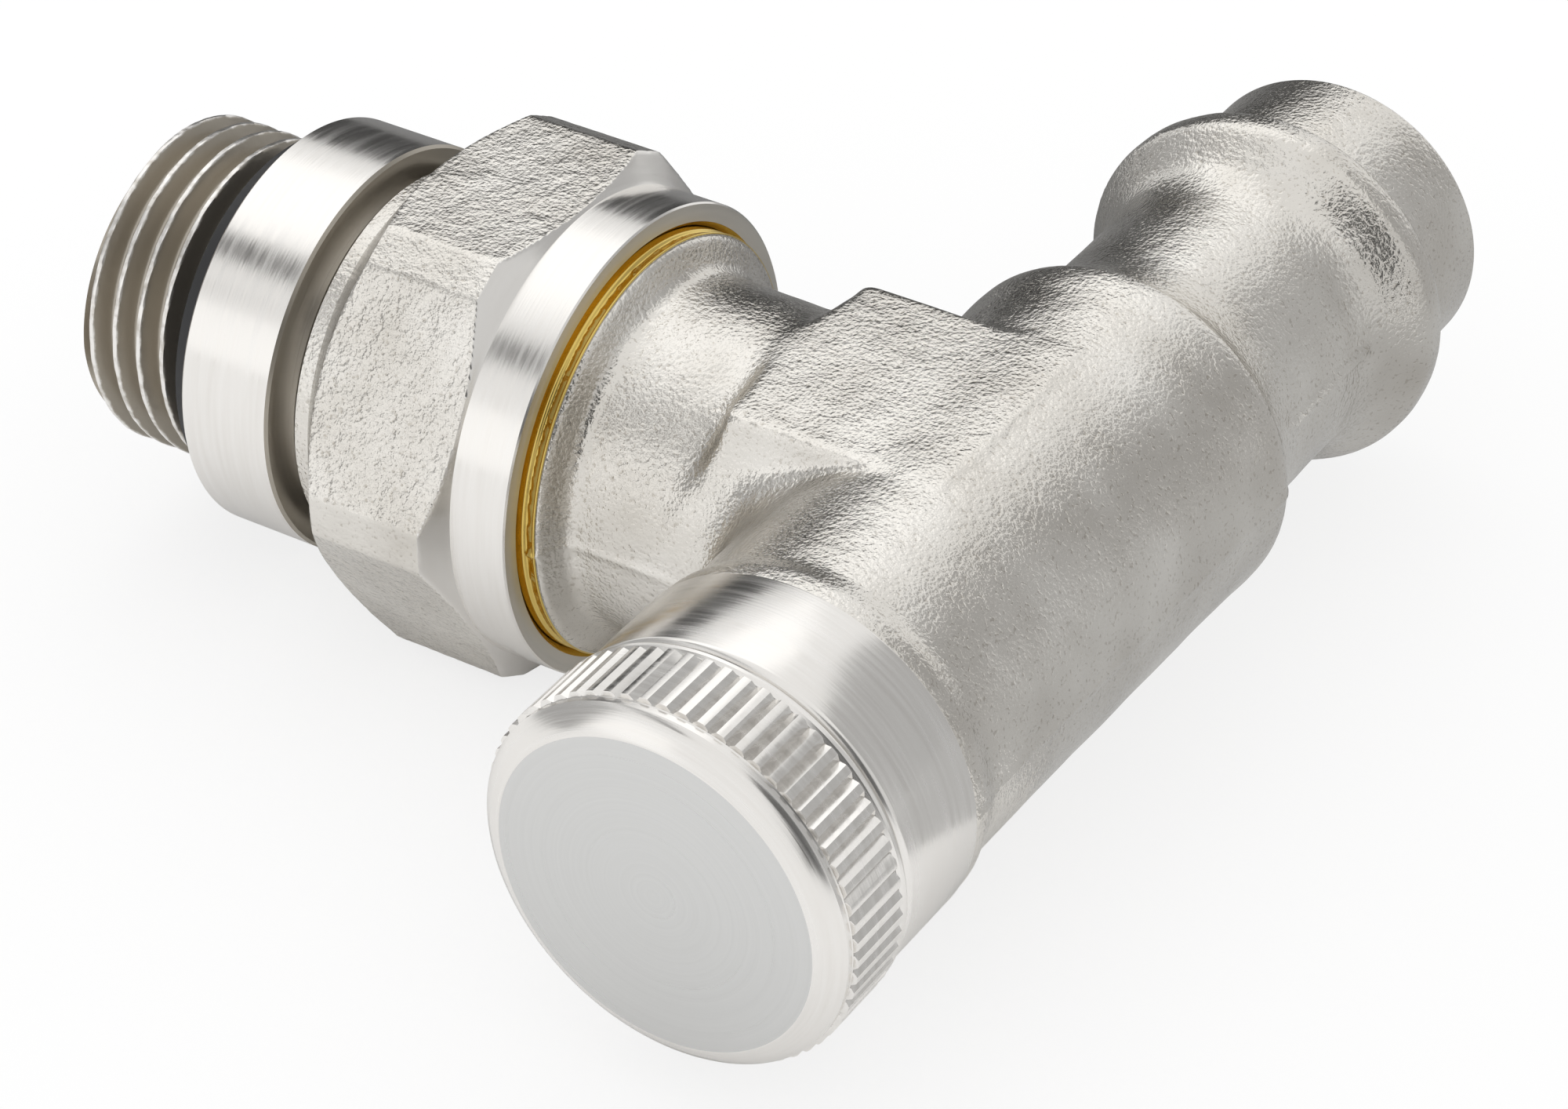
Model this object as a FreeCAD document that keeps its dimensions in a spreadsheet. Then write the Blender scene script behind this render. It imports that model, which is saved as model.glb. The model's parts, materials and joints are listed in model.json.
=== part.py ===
import FreeCAD, Part
import math
import os
import Sketcher

# Angle radiator shut-off valve with a press socket, in millimetres.
# The barrel lies along Y: the knurled cap is at -Y and the press socket at +Y.
# The union branch lies along X, with the radiator thread at -X. The two axes cross at the origin.
# A "reach" is a distance from that crossing, measured along one of the axes.

doc = FreeCAD.newDocument("AngleValve")

SIZES = [
    ("Head of the body, where the cap sits"),
    ("head_reach", 27.5, "crossing to the head's front face"),
    ("head_radius", 11.55, "head collar"),
    ("head_length", 8.0, "head collar, along the barrel"),
    ("head_slope", 2.0, "run from the collar down to the barrel"),
    ("head_edge", 0.3, "chamfer on the collar's front edge"),
    ("nose_length", 4.1, "threaded nose under the cap, beyond the head's face"),
    ("nose_wall", 1.5, "wall of the nose around the bonnet's thread"),
    ("Barrel and press end of the body"),
    ("barrel_radius", 10.9, "barrel beside the head"),
    ("shoulder_radius", 11.4, "barrel at its shoulder"),
    ("shoulder_reach", 15.4, "crossing to the shoulder"),
    ("shoulder_round", 1.0, "round on the shoulder"),
    ("shoulder_slope", 3.5, "run from the shoulder to the neck"),
    ("neck_radius", 9.45, "neck between shoulder and bead"),
    ("bead_setback", 10.0, "socket's end back to the bead's crown"),
    ("bead_rise", 2.42, "neck to the bead's crown"),
    ("bead_width", 3.8, "round part of the bead"),
    ("bead_crown", 1.12, "height of the round part of the bead"),
    ("bead_cove", 3.4, "run from the neck up to the bead"),
    ("bead_heel", 0.6, "run from the bead down to the sleeve"),
    ("sleeve_radius", 9.76, "end sleeve"),
    ("socket_reach", 43.3, "crossing to the end of the socket"),
    ("Waterway inside the body"),
    ("pipe_radius", 7.5, "pipe that is pressed in"),
    ("insertion_depth", 22.0, "pipe end to the stop in the socket"),
    ("bead_wall", 1.5, "wall of the bead around its ring"),
    ("press_ring_width", 2.6, "ring in the bead, along the pipe"),
    ("outlet_radius", 6.0, "waterway behind the seat"),
    ("seat_radius", 5.0, "seat bore"),
    ("seat_reach", 7.2, "crossing to the seat's face"),
    ("seat_rim", 1.0, "width of the raised seat rim"),
    ("seat_height", 0.8, "height of the raised seat rim"),
    ("seat_length", 2.3, "length of the seat bore"),
    ("chamber_ledge", 0.2, "smooth bore down to the valve chamber's wall"),
    ("bonnet_bore_reach", 14.0, "crossing to the inner end of that bore"),
    ("bonnet_ledge", 0.6, "bonnet's thread down to the smooth bore for its ring"),
    ("bonnet_thread_length", 11.2, "thread for the bonnet, from the nose's end"),
    ("Union branch of the body"),
    ("union_reach", 34.5, "crossing to the branch's end face"),
    ("union_thread_radius", 13.22, "pipe thread of size three quarters"),
    ("union_shoulder_reach", 22.7, "crossing to the visible end of the thread"),
    ("union_shoulder_slope", 1.0, "run from the thread down to the neck"),
    ("union_neck_radius", 11.0, "branch beside its thread"),
    ("union_waist_radius", 10.6, "branch beside the barrel"),
    ("union_bore_radius", 8.95, "bore for the tail's nose"),
    ("union_bore_depth", 6.0, "depth of that bore"),
    ("union_cone", 1.5, "chamfer that the tail seats on"),
    ("branch_radius", 7.0, "waterway of the branch"),
    ("Spanner block of the body"),
    ("block_across_flats", 22.0, "spanner size"),
    ("block_width", 15.0, "block along the barrel"),
    ("block_shift", 0.55, "branch's axis to the block's middle, towards the head"),
    ("block_reach", 12.4, "crossing to the block's outer face"),
    ("Cap"),
    ("cap_length", 6.9, "cap, along the barrel"),
    ("cap_face_radius", 10.1, "flat front face"),
    ("cap_band_radius", 11.56, "smooth band in front of the knurl"),
    ("cap_band_length", 0.7, "smooth band in front of the knurl"),
    ("cap_bevel", 0.9, "bevel from the front face to the band, along the barrel"),
    ("cap_wall", 1.56, "wall of the cap around the nose"),
    ("knurl_radius", 11.85, "crests of the knurl"),
    ("knurl_length", 4.5, "knurl, along the barrel"),
    ("knurl_depth", 0.35, "depth of the knurl"),
    ("knurl_teeth", 62, "teeth of the knurl"),
    ("cap_rim_round", 0.3, "round on the rear rim"),
    ("cap_seal_thickness", 1.0, "flat ring in the cap"),
    ("Bonnet and spindle"),
    ("bonnet_recess", 0.4, "bonnet's end below the nose's end"),
    ("bonnet_key", 10.0, "hexagon socket in the bonnet, across flats"),
    ("bonnet_key_depth", 2.2, "hexagon socket in the bonnet"),
    ("bonnet_tip_radius", 6.6, "bonnet inside the chamber"),
    ("stop_ring_thickness", 0.7, "ring that stops the spindle"),
    ("stop_ring_inner", 4.3, "hole of that ring"),
    ("stop_ring_outer", 6.2, "outside of that ring"),
    ("spindle_key", 6.0, "hexagon socket in the spindle, across flats"),
    ("spindle_key_depth", 5.0, "hexagon socket in the spindle"),
    ("spindle_thread_radius", 5.0, "spindle's thread"),
    ("spindle_thread_length", 3.9, "spindle's thread"),
    ("stem_radius", 4.4, "spindle below its thread"),
    ("stem_groove_radius", 3.2, "bottom of the ring grooves"),
    ("stem_ring_spacing", 3.0, "distance between the spindle's two rings"),
    ("journal_radius", 2.5, "spindle's tip in the cone"),
    ("journal_depth", 0.2, "how far the tip reaches into the cone's disc"),
    ("lift", 4.0, "travel of the cone from open to closed"),
    ("Closing cone"),
    ("cone_radius", 7.2, "disc of the cone"),
    ("cone_disc_height", 4.1, "disc of the cone, along the barrel"),
    ("cone_hub_radius", 4.4, "hub of the cone"),
    ("cone_rim_wall", 0.35, "rim around the soft ring"),
    ("cone_seal_thickness", 1.6, "soft ring"),
    ("cone_seal_proud", 0.6, "soft ring beyond the rim"),
    ("clip_thickness", 0.5, "ring that holds the journal"),
    ("clip_reach", 1.0, "clip to the journal's end"),
    ("cone_washer_radius", 4.0, "washer under the soft ring"),
    ("cone_washer_thickness", 0.6, "washer under the soft ring"),
    ("cone_screw_radius", 2.0, "screw's shank"),
    ("cone_screw_head_radius", 3.2, "screw's head"),
    ("cone_screw_head_height", 1.8, "screw's head"),
    ("cone_screw_slot", 0.8, "width and depth of the screw's slot"),
    ("Union nut"),
    ("nut_gap", 1.0, "nut's open end to the branch's shoulder"),
    ("nut_collar_wall", 1.53, "wall of the turned collar at the open end"),
    ("nut_collar_length", 3.9, "turned collar"),
    ("nut_cone_length", 1.0, "turned cone between collar and hexagon"),
    ("nut_flat_wall", 1.73, "wall between the nut's thread and a flat"),
    ("nut_corner_rise", 1.6, "flats to the hexagon's cut-back corners"),
    ("nut_back_slope", 3.6, "run from the hexagon down to the hub"),
    ("nut_hub_radius", 12.0, "hub at the back"),
    ("nut_hub_length", 1.25, "hub at the back"),
    ("nut_back_wall", 3.75, "wall that pulls the tail"),
    ("nut_back_room", 2.7, "tail's seat to that wall"),
    ("nut_mouth_chamfer", 0.35, "chamfer at the open end's thread"),
    ("Tail"),
    ("tail_collar_gap", 1.05, "nut's back to the tail's collar"),
    ("tail_collar_radius", 13.03, "collar"),
    ("tail_collar_length", 6.5, "collar"),
    ("tail_collar_edge", 0.5, "chamfers on the collar"),
    ("tail_shank_radius", 10.7, "shank inside the nut"),
    ("tail_bore_radius", 6.5, "waterway of the tail"),
    ("tail_key", 13.0, "hexagon socket in the tail, across flats"),
    ("tail_key_depth", 9.0, "hexagon socket in the tail"),
    ("tail_nose_length", 3.6, "nose inside the branch, beyond the seat"),
    ("radiator_thread_radius", 10.4775, "pipe thread of size one half"),
    ("radiator_thread_length", 7.5, "thread"),
    ("radiator_thread_chamfer", 0.5, "chamfer at the thread's end"),
    ("relief_radius", 9.4, "relief between thread and collar"),
    ("radiator_seal_width", 1.5, "black ring, along the tail"),
    ("radiator_seal_radius", 11.6, "black ring, outside"),
    ("relief_slack", 1.2, "relief beyond the black ring"),
    ("retaining_ring_width", 1.0, "ring that the nut pulls on"),
    ("retaining_ring_radius", 12.4, "outside of that ring"),
    ("retaining_ring_depth", 0.8, "how deep that ring sits in the tail"),
    ("Rings and clearances"),
    ("small_ring", 1.2, "section of the small sealing rings"),
    ("ring_room", 0.3, "how much longer a groove is than its ring"),
    ("ring_slack", 0.02, "play between a ring and its walls"),
    ("thread_clearance", 0.05, "radial play of threads and sliding fits"),
    ("pipe_clearance", 0.1, "radial play around the pipe"),
    ("part_gap", 0.3, "play between faces that must not touch"),
    ("cap_gap", 0.2, "play between the cap and the head"),
    ("seat_gap", 0.1, "play between the tail and its seat"),
    ("edge", 0.5, "small chamfers"),
]

# Worked out from the sizes above: places along the two axes, as signed coordinates, and the radii and
# widths that follow from a neighbour's radius and the wall or step between them.
PLACES = [
    ("nose_radius", "cap_band_radius - cap_wall"),
    ("bonnet_thread_radius", "nose_radius - nose_wall"),
    ("bonnet_bore_radius", "bonnet_thread_radius - bonnet_ledge"),
    ("chamber_radius", "bonnet_bore_radius - chamber_ledge"),
    ("bead_radius", "neck_radius + bead_rise"),
    ("bead_reach", "socket_reach - bead_setback"),
    ("nose_end", "-(head_reach + nose_length)"),
    ("cap_rear", "-(head_reach + cap_gap)"),
    ("cap_front", "cap_rear - cap_length"),
    ("cap_ceiling", "nose_end - cap_seal_thickness"),
    ("bonnet_top", "nose_end + bonnet_recess"),
    ("bonnet_step", "nose_end + bonnet_thread_length"),
    ("stop_groove", "bonnet_top + bonnet_key_depth"),
    ("spindle_top", "stop_groove + stop_ring_thickness + 2 * ring_slack + part_gap"),
    ("thread_foot", "spindle_top + spindle_thread_length"),
    ("stem_bore_top", "thread_foot + lift + part_gap"),
    ("upper_ring", "stem_bore_top + part_gap + small_ring"),
    ("lower_ring", "upper_ring + stem_ring_spacing"),
    ("bonnet_tip", "lower_ring + small_ring + lift + part_gap"),
    ("hub_top", "bonnet_tip + part_gap"),
    ("cone_seal_face", "seat_reach - lift"),
    ("cone_seal_back", "cone_seal_face - cone_seal_thickness"),
    ("cone_rim", "cone_seal_face - cone_seal_proud"),
    ("cone_disc_top", "cone_rim - cone_disc_height"),
    ("journal_end", "cone_disc_top + journal_depth"),
    ("clip_place", "journal_end - clip_reach"),
    ("pipe_stop", "socket_reach - insertion_depth"),
    ("tail_seat", "-(union_reach + part_gap)"),
    ("nut_collar_radius", "union_thread_radius + thread_clearance + nut_collar_wall"),
    ("nut_across_flats", "2 * (union_thread_radius + thread_clearance + nut_flat_wall)"),
    ("nut_corner_radius", "nut_across_flats / 2 + nut_corner_rise"),
    ("nut_front", "-(union_shoulder_reach + nut_gap)"),
    ("nut_collar_back", "nut_front - nut_collar_length"),
    ("nut_hex_front", "nut_collar_back - nut_cone_length"),
    ("nut_wall_face", "tail_seat - nut_back_room"),
    ("nut_back", "nut_wall_face - nut_back_wall"),
    ("nut_slope_end", "nut_back + nut_hub_length"),
    ("nut_hex_back", "nut_slope_end + nut_back_slope"),
    ("ring_back", "nut_wall_face + thread_clearance"),
    ("ring_front", "ring_back + retaining_ring_width"),
    ("collar_front", "nut_back - tail_collar_gap"),
    ("collar_back", "collar_front - tail_collar_length"),
    ("seal_back", "collar_back - radiator_seal_width"),
    ("thread_front", "seal_back - relief_slack"),
    ("tail_end", "thread_front - radiator_thread_length"),
    ("tail_cone_end", "-(union_reach - union_cone) - seat_gap"),
    ("tail_nose_end", "tail_cone_end + tail_nose_length"),
    ("nose_ring", "tail_cone_end + tail_nose_length / 2"),
]


def make_sheet():
    sheet = doc.addObject("Spreadsheet::Sheet", "Sizes")
    row = 1
    for entry in SIZES:
        if isinstance(entry, str):
            sheet.set(f"A{row}", entry)
        else:
            alias, value, meaning = entry
            sheet.set(f"A{row}", meaning)
            sheet.set(f"B{row}", str(value))
            sheet.setAlias(f"B{row}", alias)
        row += 1
    for alias, formula in PLACES:
        sheet.set(f"A{row}", alias.replace("_", " "))
        sheet.set(f"B{row}", "=" + formula)
        sheet.setAlias(f"B{row}", alias)
        row += 1
    doc.recompute()
    return sheet


sheet = make_sheet()
NAMES = sorted([entry[0] for entry in SIZES + PLACES if not isinstance(entry, str)], key=len, reverse=True)
SUBPARTS = []


def bound(formula):
    """The formula with each alias written as a reference to the sheet."""
    words = []
    word = ""
    for letter in formula + " ":
        if letter.isalnum() or letter == "_":
            word += letter
            continue
        words.append(f"Sizes.{word}" if word in NAMES else word)
        words.append(letter)
        word = ""
    return "".join(words).strip()


def value_of(formula):
    return float(sheet.evalExpression(bound(formula)))


def new_body(label):
    body = doc.addObject("PartDesign::Body", label)
    body.Label = label
    SUBPARTS.append(body)
    return body


def plane_of(body, role):
    return next(feature for feature in body.Origin.OriginFeatures if feature.Role == role)


def new_sketch(body, name, role, offset=None):
    sketch = body.newObject("Sketcher::SketchObject", name)
    sketch.AttachmentSupport = [(plane_of(body, role), "")]
    sketch.MapMode = "FlatFace"
    if offset:
        sketch.setExpression("AttachmentOffset.Base.z", bound(offset))
    return sketch


def pin_point(sketch, item, end, across, up):
    """Ties one end of a sketch line or arc to two formulas, measured from the sketch's origin."""
    for kind, formula in (("DistanceX", across), ("DistanceY", up)):
        number = sketch.addConstraint(Sketcher.Constraint(kind, -1, 1, item, end, value_of(formula)))
        sketch.setExpression(f"Constraints[{number}]", bound(formula))


def arc_between(start, finish, radius, side):
    """A circular arc from start to finish. side +1 puts its centre on the left of the way there."""
    chord = finish - start
    half = chord.Length / 2
    rise = math.sqrt(max(radius * radius - half * half, 0.0))
    left = FreeCAD.Vector(-chord.y, chord.x, 0).normalize()
    centre = (start + finish) / 2 + left * rise * side
    circle = Part.Circle(centre, FreeCAD.Vector(0, 0, 1), radius)
    first, last = (start, finish) if side > 0 else (finish, start)
    angles = [math.atan2(p.y - centre.y, p.x - centre.x) for p in (first, last)]
    return Part.ArcOfCircle(circle, *angles)


def outline(sketch, points, swap):
    """A closed outline. Each point is (along, radius), or (along, radius, arc radius, side) for an arc to it."""
    def flat(point):
        along, radius = value_of(point[0]), value_of(point[1])
        return FreeCAD.Vector(radius, along, 0) if swap else FreeCAD.Vector(along, radius, 0)

    ends = []
    for number, point in enumerate(points):
        after = points[(number + 1) % len(points)]
        if len(after) == 4:
            side = -after[3] if swap else after[3]
            sketch.addGeometry(arc_between(flat(point), flat(after), value_of(after[2]), side))
            ends.append((1, 2) if side > 0 else (2, 1))
        else:
            sketch.addGeometry(Part.LineSegment(flat(point), flat(after)))
            ends.append((1, 2))
    for number, point in enumerate(points):
        after = (number + 1) % len(points)
        sketch.addConstraint(Sketcher.Constraint("Coincident", number, ends[number][1], after, ends[after][0]))
        across, up = (point[1], point[0]) if swap else (point[0], point[1])
        pin_point(sketch, number, ends[number][0], across, up)
        if len(points[after]) == 4:
            radius = Sketcher.Constraint("Radius", number, value_of(points[after][2]))
            place = sketch.addConstraint(radius)
            sketch.setExpression(f"Constraints[{place}]", bound(points[after][2]))


def revolve(body, name, axis, points, cut=False):
    """Turns an outline around the barrel's axis ("Y") or the branch's axis ("X")."""
    sketch = new_sketch(body, name + "Outline", "XY_Plane")
    outline(sketch, points, swap=axis == "Y")
    kind = "PartDesign::Groove" if cut else "PartDesign::Revolution"
    feature = body.newObject(kind, name)
    feature.Profile = sketch
    feature.ReferenceAxis = (sketch, ["V_Axis" if axis == "Y" else "H_Axis"])
    feature.Angle = 360
    sketch.Visibility = False
    return feature


def hexagon(sketch, across_flats, turned):
    """A regular hexagon around the sketch's origin. turned puts two flats across the sketch's Y."""
    for number in range(6):
        formulas = [corner_formula(across_flats, number + step, turned) for step in (0, 1)]
        ends = [FreeCAD.Vector(value_of(a), value_of(b), 0) for a, b in formulas]
        sketch.addGeometry(Part.LineSegment(*ends))
    first = sketch.GeometryCount - 6
    for number in range(6):
        after = first + (number + 1) % 6
        sketch.addConstraint(Sketcher.Constraint("Coincident", first + number, 2, after, 1))
        pin_point(sketch, first + number, 1, *corner_formula(across_flats, number, turned))


def corner_formula(across_flats, number, turned):
    angle = math.radians(60 * number + (0 if turned else 30))
    size = 1 / math.sqrt(3)
    return (
        f"{across_flats} * {math.cos(angle) * size:.9f}",
        f"{across_flats} * {math.sin(angle) * size:.9f}",
    )


def drill_hexagon(body, name, axis, across_flats, mouth, depth, turned):
    """A hexagon socket that starts at mouth and runs towards +Y or +X."""
    role, flipped = ("XZ_Plane", True) if axis == "Y" else ("YZ_Plane", False)
    sketch = new_sketch(body, name + "Outline", role, f"-({mouth})" if flipped else mouth)
    hexagon(sketch, across_flats, turned)
    pocket = body.newObject("PartDesign::Pocket", name)
    pocket.Profile = sketch
    pocket.Type = "Length"
    pocket.setExpression("Length", bound(depth))
    pocket.Reversed = not flipped
    body.Tip = pocket
    return pocket


def ring(label, axis, middle, width, inner, outer):
    """A flat ring of rectangular section around one of the axes."""
    body = new_body(label)
    low, high = f"{middle} - ({width}) / 2", f"{middle} + ({width}) / 2"
    revolve(body, "Ring", axis, [(low, inner), (low, outer), (high, outer), (high, inner)])
    return body


def round_ring(label, axis, middle, inner, section):
    """A sealing ring of round section around one of the axes."""
    torus = doc.addObject("Part::Torus", label)
    torus.Label = label
    torus.setExpression("Radius1", bound(f"{inner} + ({section}) / 2"))
    torus.setExpression("Radius2", bound(f"({section}) / 2"))
    along = FreeCAD.Vector(0, 1, 0) if axis == "Y" else FreeCAD.Vector(1, 0, 0)
    torus.Placement = FreeCAD.Placement(FreeCAD.Vector(), FreeCAD.Rotation(FreeCAD.Vector(0, 0, 1), along))
    torus.setExpression("Placement.Base.y" if axis == "Y" else "Placement.Base.x", bound(middle))
    SUBPARTS.append(torus)
    return torus


def cut_volume(body, feature, before):
    """Checks that a cut has taken material away."""
    doc.recompute()
    if not feature.Shape.Volume < before - 0.01:
        raise RuntimeError(f"{body.Label}: {feature.Name} cuts nothing")


def valve_body():
    """The forging: barrel with head and press end, union branch, spanner block, and all its bores."""
    body = new_body("valve_body")
    crown_radius = "((bead_width / 2)^2 + bead_crown^2) / (2 * bead_crown)"
    revolve(body, "Barrel", "Y", [
        ("nose_end", "0"),
        ("nose_end", "nose_radius - edge"),
        ("nose_end + edge", "nose_radius"),
        ("-head_reach", "nose_radius"),
        ("-head_reach", "head_radius - head_edge"),
        ("-head_reach + head_edge", "head_radius"),
        ("-head_reach + head_length", "head_radius"),
        ("-head_reach + head_length + head_slope", "barrel_radius"),
        ("shoulder_reach - shoulder_round", "shoulder_radius"),
        ("shoulder_reach", "shoulder_radius - shoulder_round", "shoulder_round", -1),
        ("shoulder_reach + shoulder_slope", "neck_radius"),
        ("bead_reach - bead_width / 2 - bead_cove", "neck_radius"),
        ("bead_reach - bead_width / 2", "bead_radius - bead_crown"),
        ("bead_reach + bead_width / 2", "bead_radius - bead_crown", crown_radius, -1),
        ("bead_reach + bead_width / 2 + bead_heel", "sleeve_radius"),
        ("socket_reach - edge", "sleeve_radius"),
        ("socket_reach", "sleeve_radius - edge"),
        ("socket_reach", "0"),
    ])
    revolve(body, "Branch", "X", [
        ("-union_reach", "0"),
        ("-union_reach", "union_thread_radius - edge"),
        ("-union_reach + edge", "union_thread_radius"),
        ("-union_shoulder_reach", "union_thread_radius"),
        ("-union_shoulder_reach + union_shoulder_slope", "union_neck_radius"),
        ("-block_reach", "union_waist_radius"),
        ("0", "union_waist_radius"),
        ("0", "0"),
    ])
    spanner_block(body)
    bore_body(body)
    return body


def spanner_block(body):
    """A block with two flats for a spanner, level with the barrel's crest and over the branch."""
    near = "-block_shift - block_width / 2"
    far = "-block_shift + block_width / 2"
    sketch = new_sketch(body, "BlockOutline", "XY_Plane")
    outline(sketch, [("-block_reach", near), ("0", near), ("0", far), ("-block_reach", far)], swap=False)
    block = body.newObject("PartDesign::Pad", "Block")
    block.Profile = sketch
    block.SideType = "Symmetric"
    block.setExpression("Length", bound("block_across_flats"))


def bore_body(body):
    """Everything that is drilled and turned inside the forging."""
    wall = "bead_radius - bead_wall"
    socket = "pipe_radius + pipe_clearance"
    groove = "press_ring_width + ring_room"
    revolve(body, "BarrelBore", "Y", [
        ("nose_end", "0"),
        ("nose_end", "bonnet_thread_radius"),
        ("bonnet_step", "bonnet_thread_radius"),
        ("bonnet_step", "bonnet_bore_radius"),
        ("-bonnet_bore_reach", "bonnet_bore_radius"),
        ("-bonnet_bore_reach", "chamber_radius"),
        ("seat_reach + seat_height", "chamber_radius"),
        ("seat_reach + seat_height", "seat_radius + seat_rim"),
        ("seat_reach", "seat_radius + seat_rim"),
        ("seat_reach", "seat_radius"),
        ("seat_reach + seat_length", "seat_radius"),
        ("seat_reach + seat_length", "outlet_radius"),
        ("pipe_stop", "outlet_radius"),
        ("pipe_stop", socket),
        (f"bead_reach - ({groove}) / 2", socket),
        (f"bead_reach - ({groove}) / 2", wall),
        (f"bead_reach + ({groove}) / 2", wall),
        (f"bead_reach + ({groove}) / 2", socket),
        ("socket_reach - edge", socket),
        ("socket_reach", f"{socket} + edge"),
        ("socket_reach", "0"),
    ], cut=True)
    revolve(body, "BranchBore", "X", [
        ("-union_reach", "0"),
        ("-union_reach", "union_bore_radius + union_cone"),
        ("-union_reach + union_cone", "union_bore_radius"),
        ("-union_reach + union_bore_depth", "union_bore_radius"),
        ("-union_reach + union_bore_depth", "branch_radius"),
        ("-chamber_radius / 2", "branch_radius"),
        ("-chamber_radius / 2", "0"),
    ], cut=True)


def blanking_cap():
    """The knurled cap: turned outside, threaded inside, with a straight knurl around its rim."""
    body = new_body("blanking_cap")
    inside = "nose_radius + thread_clearance"
    knurl_front = "cap_front + cap_bevel + cap_band_length"
    revolve(body, "Turned", "Y", [
        ("cap_front", "0"),
        ("cap_front", "cap_face_radius"),
        ("cap_front + cap_bevel", "cap_band_radius"),
        (knurl_front, "cap_band_radius"),
        (knurl_front, "knurl_radius"),
        ("cap_rear - cap_rim_round", "knurl_radius"),
        ("cap_rear", "knurl_radius - cap_rim_round"),
        ("cap_rear", f"{inside} + edge"),
        ("cap_rear - edge", inside),
        ("cap_ceiling", inside),
        ("cap_ceiling", "0"),
    ])
    doc.recompute()
    before = body.Shape.Volume
    sketch = new_sketch(body, "ToothGapOutline", "XZ_Plane", f"-({knurl_front})")
    half = "knurl_radius * 0.6 * tan(180 deg / knurl_teeth)"
    outline(sketch, [
        ("knurl_radius - knurl_depth", "0"),
        ("knurl_radius + knurl_depth", f"-2 * {half}"),
        ("knurl_radius + knurl_depth", f"2 * {half}"),
    ], swap=False)
    gap = body.newObject("PartDesign::Pocket", "ToothGap")
    gap.Profile = sketch
    gap.Type = "Length"
    gap.setExpression("Length", bound("knurl_length"))
    cut_volume(body, gap, before)
    pattern = body.newObject("PartDesign::PolarPattern", "Knurl")
    pattern.Originals = [gap]
    pattern.Axis = (plane_of(body, "Y_Axis"), [""])
    pattern.Angle = 360
    pattern.setExpression("Occurrences", bound("knurl_teeth"))
    body.Tip = pattern
    return body


def cap_seal():
    return ring("cap_seal", "Y", "cap_ceiling + cap_seal_thickness / 2", "cap_seal_thickness",
                "bonnet_thread_radius", "nose_radius")


def bonnet():
    """The insert in the head: threaded outside, with the spindle's thread and a smooth bore inside."""
    body = new_body("bonnet")
    thread = "bonnet_thread_radius - thread_clearance"
    plug = "bonnet_bore_radius - thread_clearance"
    groove = "small_ring + ring_room"
    middle = "(bonnet_step - bonnet_bore_reach) / 2"
    floor = "bonnet_bore_radius - small_ring - 2 * ring_slack"
    stop = "stop_groove + stop_ring_thickness + 2 * ring_slack"
    revolve(body, "Turned", "Y", [
        ("bonnet_top", "spindle_thread_radius + thread_clearance"),
        ("bonnet_top", f"{thread} - edge"),
        ("bonnet_top + edge", thread),
        ("bonnet_step - part_gap", thread),
        ("bonnet_step - part_gap", plug),
        (f"{middle} - ({groove}) / 2", plug),
        (f"{middle} - ({groove}) / 2", floor),
        (f"{middle} + ({groove}) / 2", floor),
        (f"{middle} + ({groove}) / 2", plug),
        ("-bonnet_bore_reach - part_gap", plug),
        ("-bonnet_bore_reach - part_gap", "bonnet_tip_radius"),
        ("bonnet_tip", "bonnet_tip_radius"),
        ("bonnet_tip", "stem_radius + thread_clearance"),
        ("stem_bore_top", "stem_radius + thread_clearance"),
        ("stem_bore_top", "spindle_thread_radius + thread_clearance"),
        (stop, "spindle_thread_radius + thread_clearance"),
        (stop, "stop_ring_outer + ring_slack"),
        ("stop_groove", "stop_ring_outer + ring_slack"),
        ("stop_groove", "spindle_thread_radius + thread_clearance"),
    ])
    doc.recompute()
    before = body.Shape.Volume
    key = drill_hexagon(body, "KeySocket", "Y", "bonnet_key", "bonnet_top", "bonnet_key_depth", False)
    cut_volume(body, key, before)
    return body


def bonnet_seal():
    floor = "bonnet_bore_radius - small_ring - ring_slack"
    return round_ring("bonnet_seal", "Y", "(bonnet_step - bonnet_bore_reach) / 2", floor, "small_ring")


def spindle():
    """The spindle: hexagon socket and thread at its outer end, two ring grooves, journal at its tip."""
    body = new_body("spindle")
    groove = "small_ring + ring_room"
    points = [
        ("spindle_top", "0"),
        ("spindle_top", "spindle_thread_radius - edge"),
        ("spindle_top + edge", "spindle_thread_radius"),
        ("thread_foot", "spindle_thread_radius"),
        ("thread_foot", "stem_radius"),
    ]
    for place in ("upper_ring", "lower_ring"):
        points += [
            (f"{place} - ({groove}) / 2", "stem_radius"),
            (f"{place} - ({groove}) / 2", "stem_groove_radius"),
            (f"{place} + ({groove}) / 2", "stem_groove_radius"),
            (f"{place} + ({groove}) / 2", "stem_radius"),
        ]
    points += [
        ("hub_top - part_gap", "stem_radius"),
        ("hub_top - part_gap", "journal_radius"),
        ("clip_place - clip_thickness / 2 - ring_slack", "journal_radius"),
        ("clip_place - clip_thickness / 2 - ring_slack", "journal_radius - clip_thickness"),
        ("clip_place + clip_thickness / 2 + ring_slack", "journal_radius - clip_thickness"),
        ("clip_place + clip_thickness / 2 + ring_slack", "journal_radius"),
        ("journal_end", "journal_radius"),
        ("journal_end", "0"),
    ]
    revolve(body, "Turned", "Y", points)
    doc.recompute()
    before = body.Shape.Volume
    key = drill_hexagon(body, "KeySocket", "Y", "spindle_key", "spindle_top", "spindle_key_depth", False)
    cut_volume(body, key, before)
    return body


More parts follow.
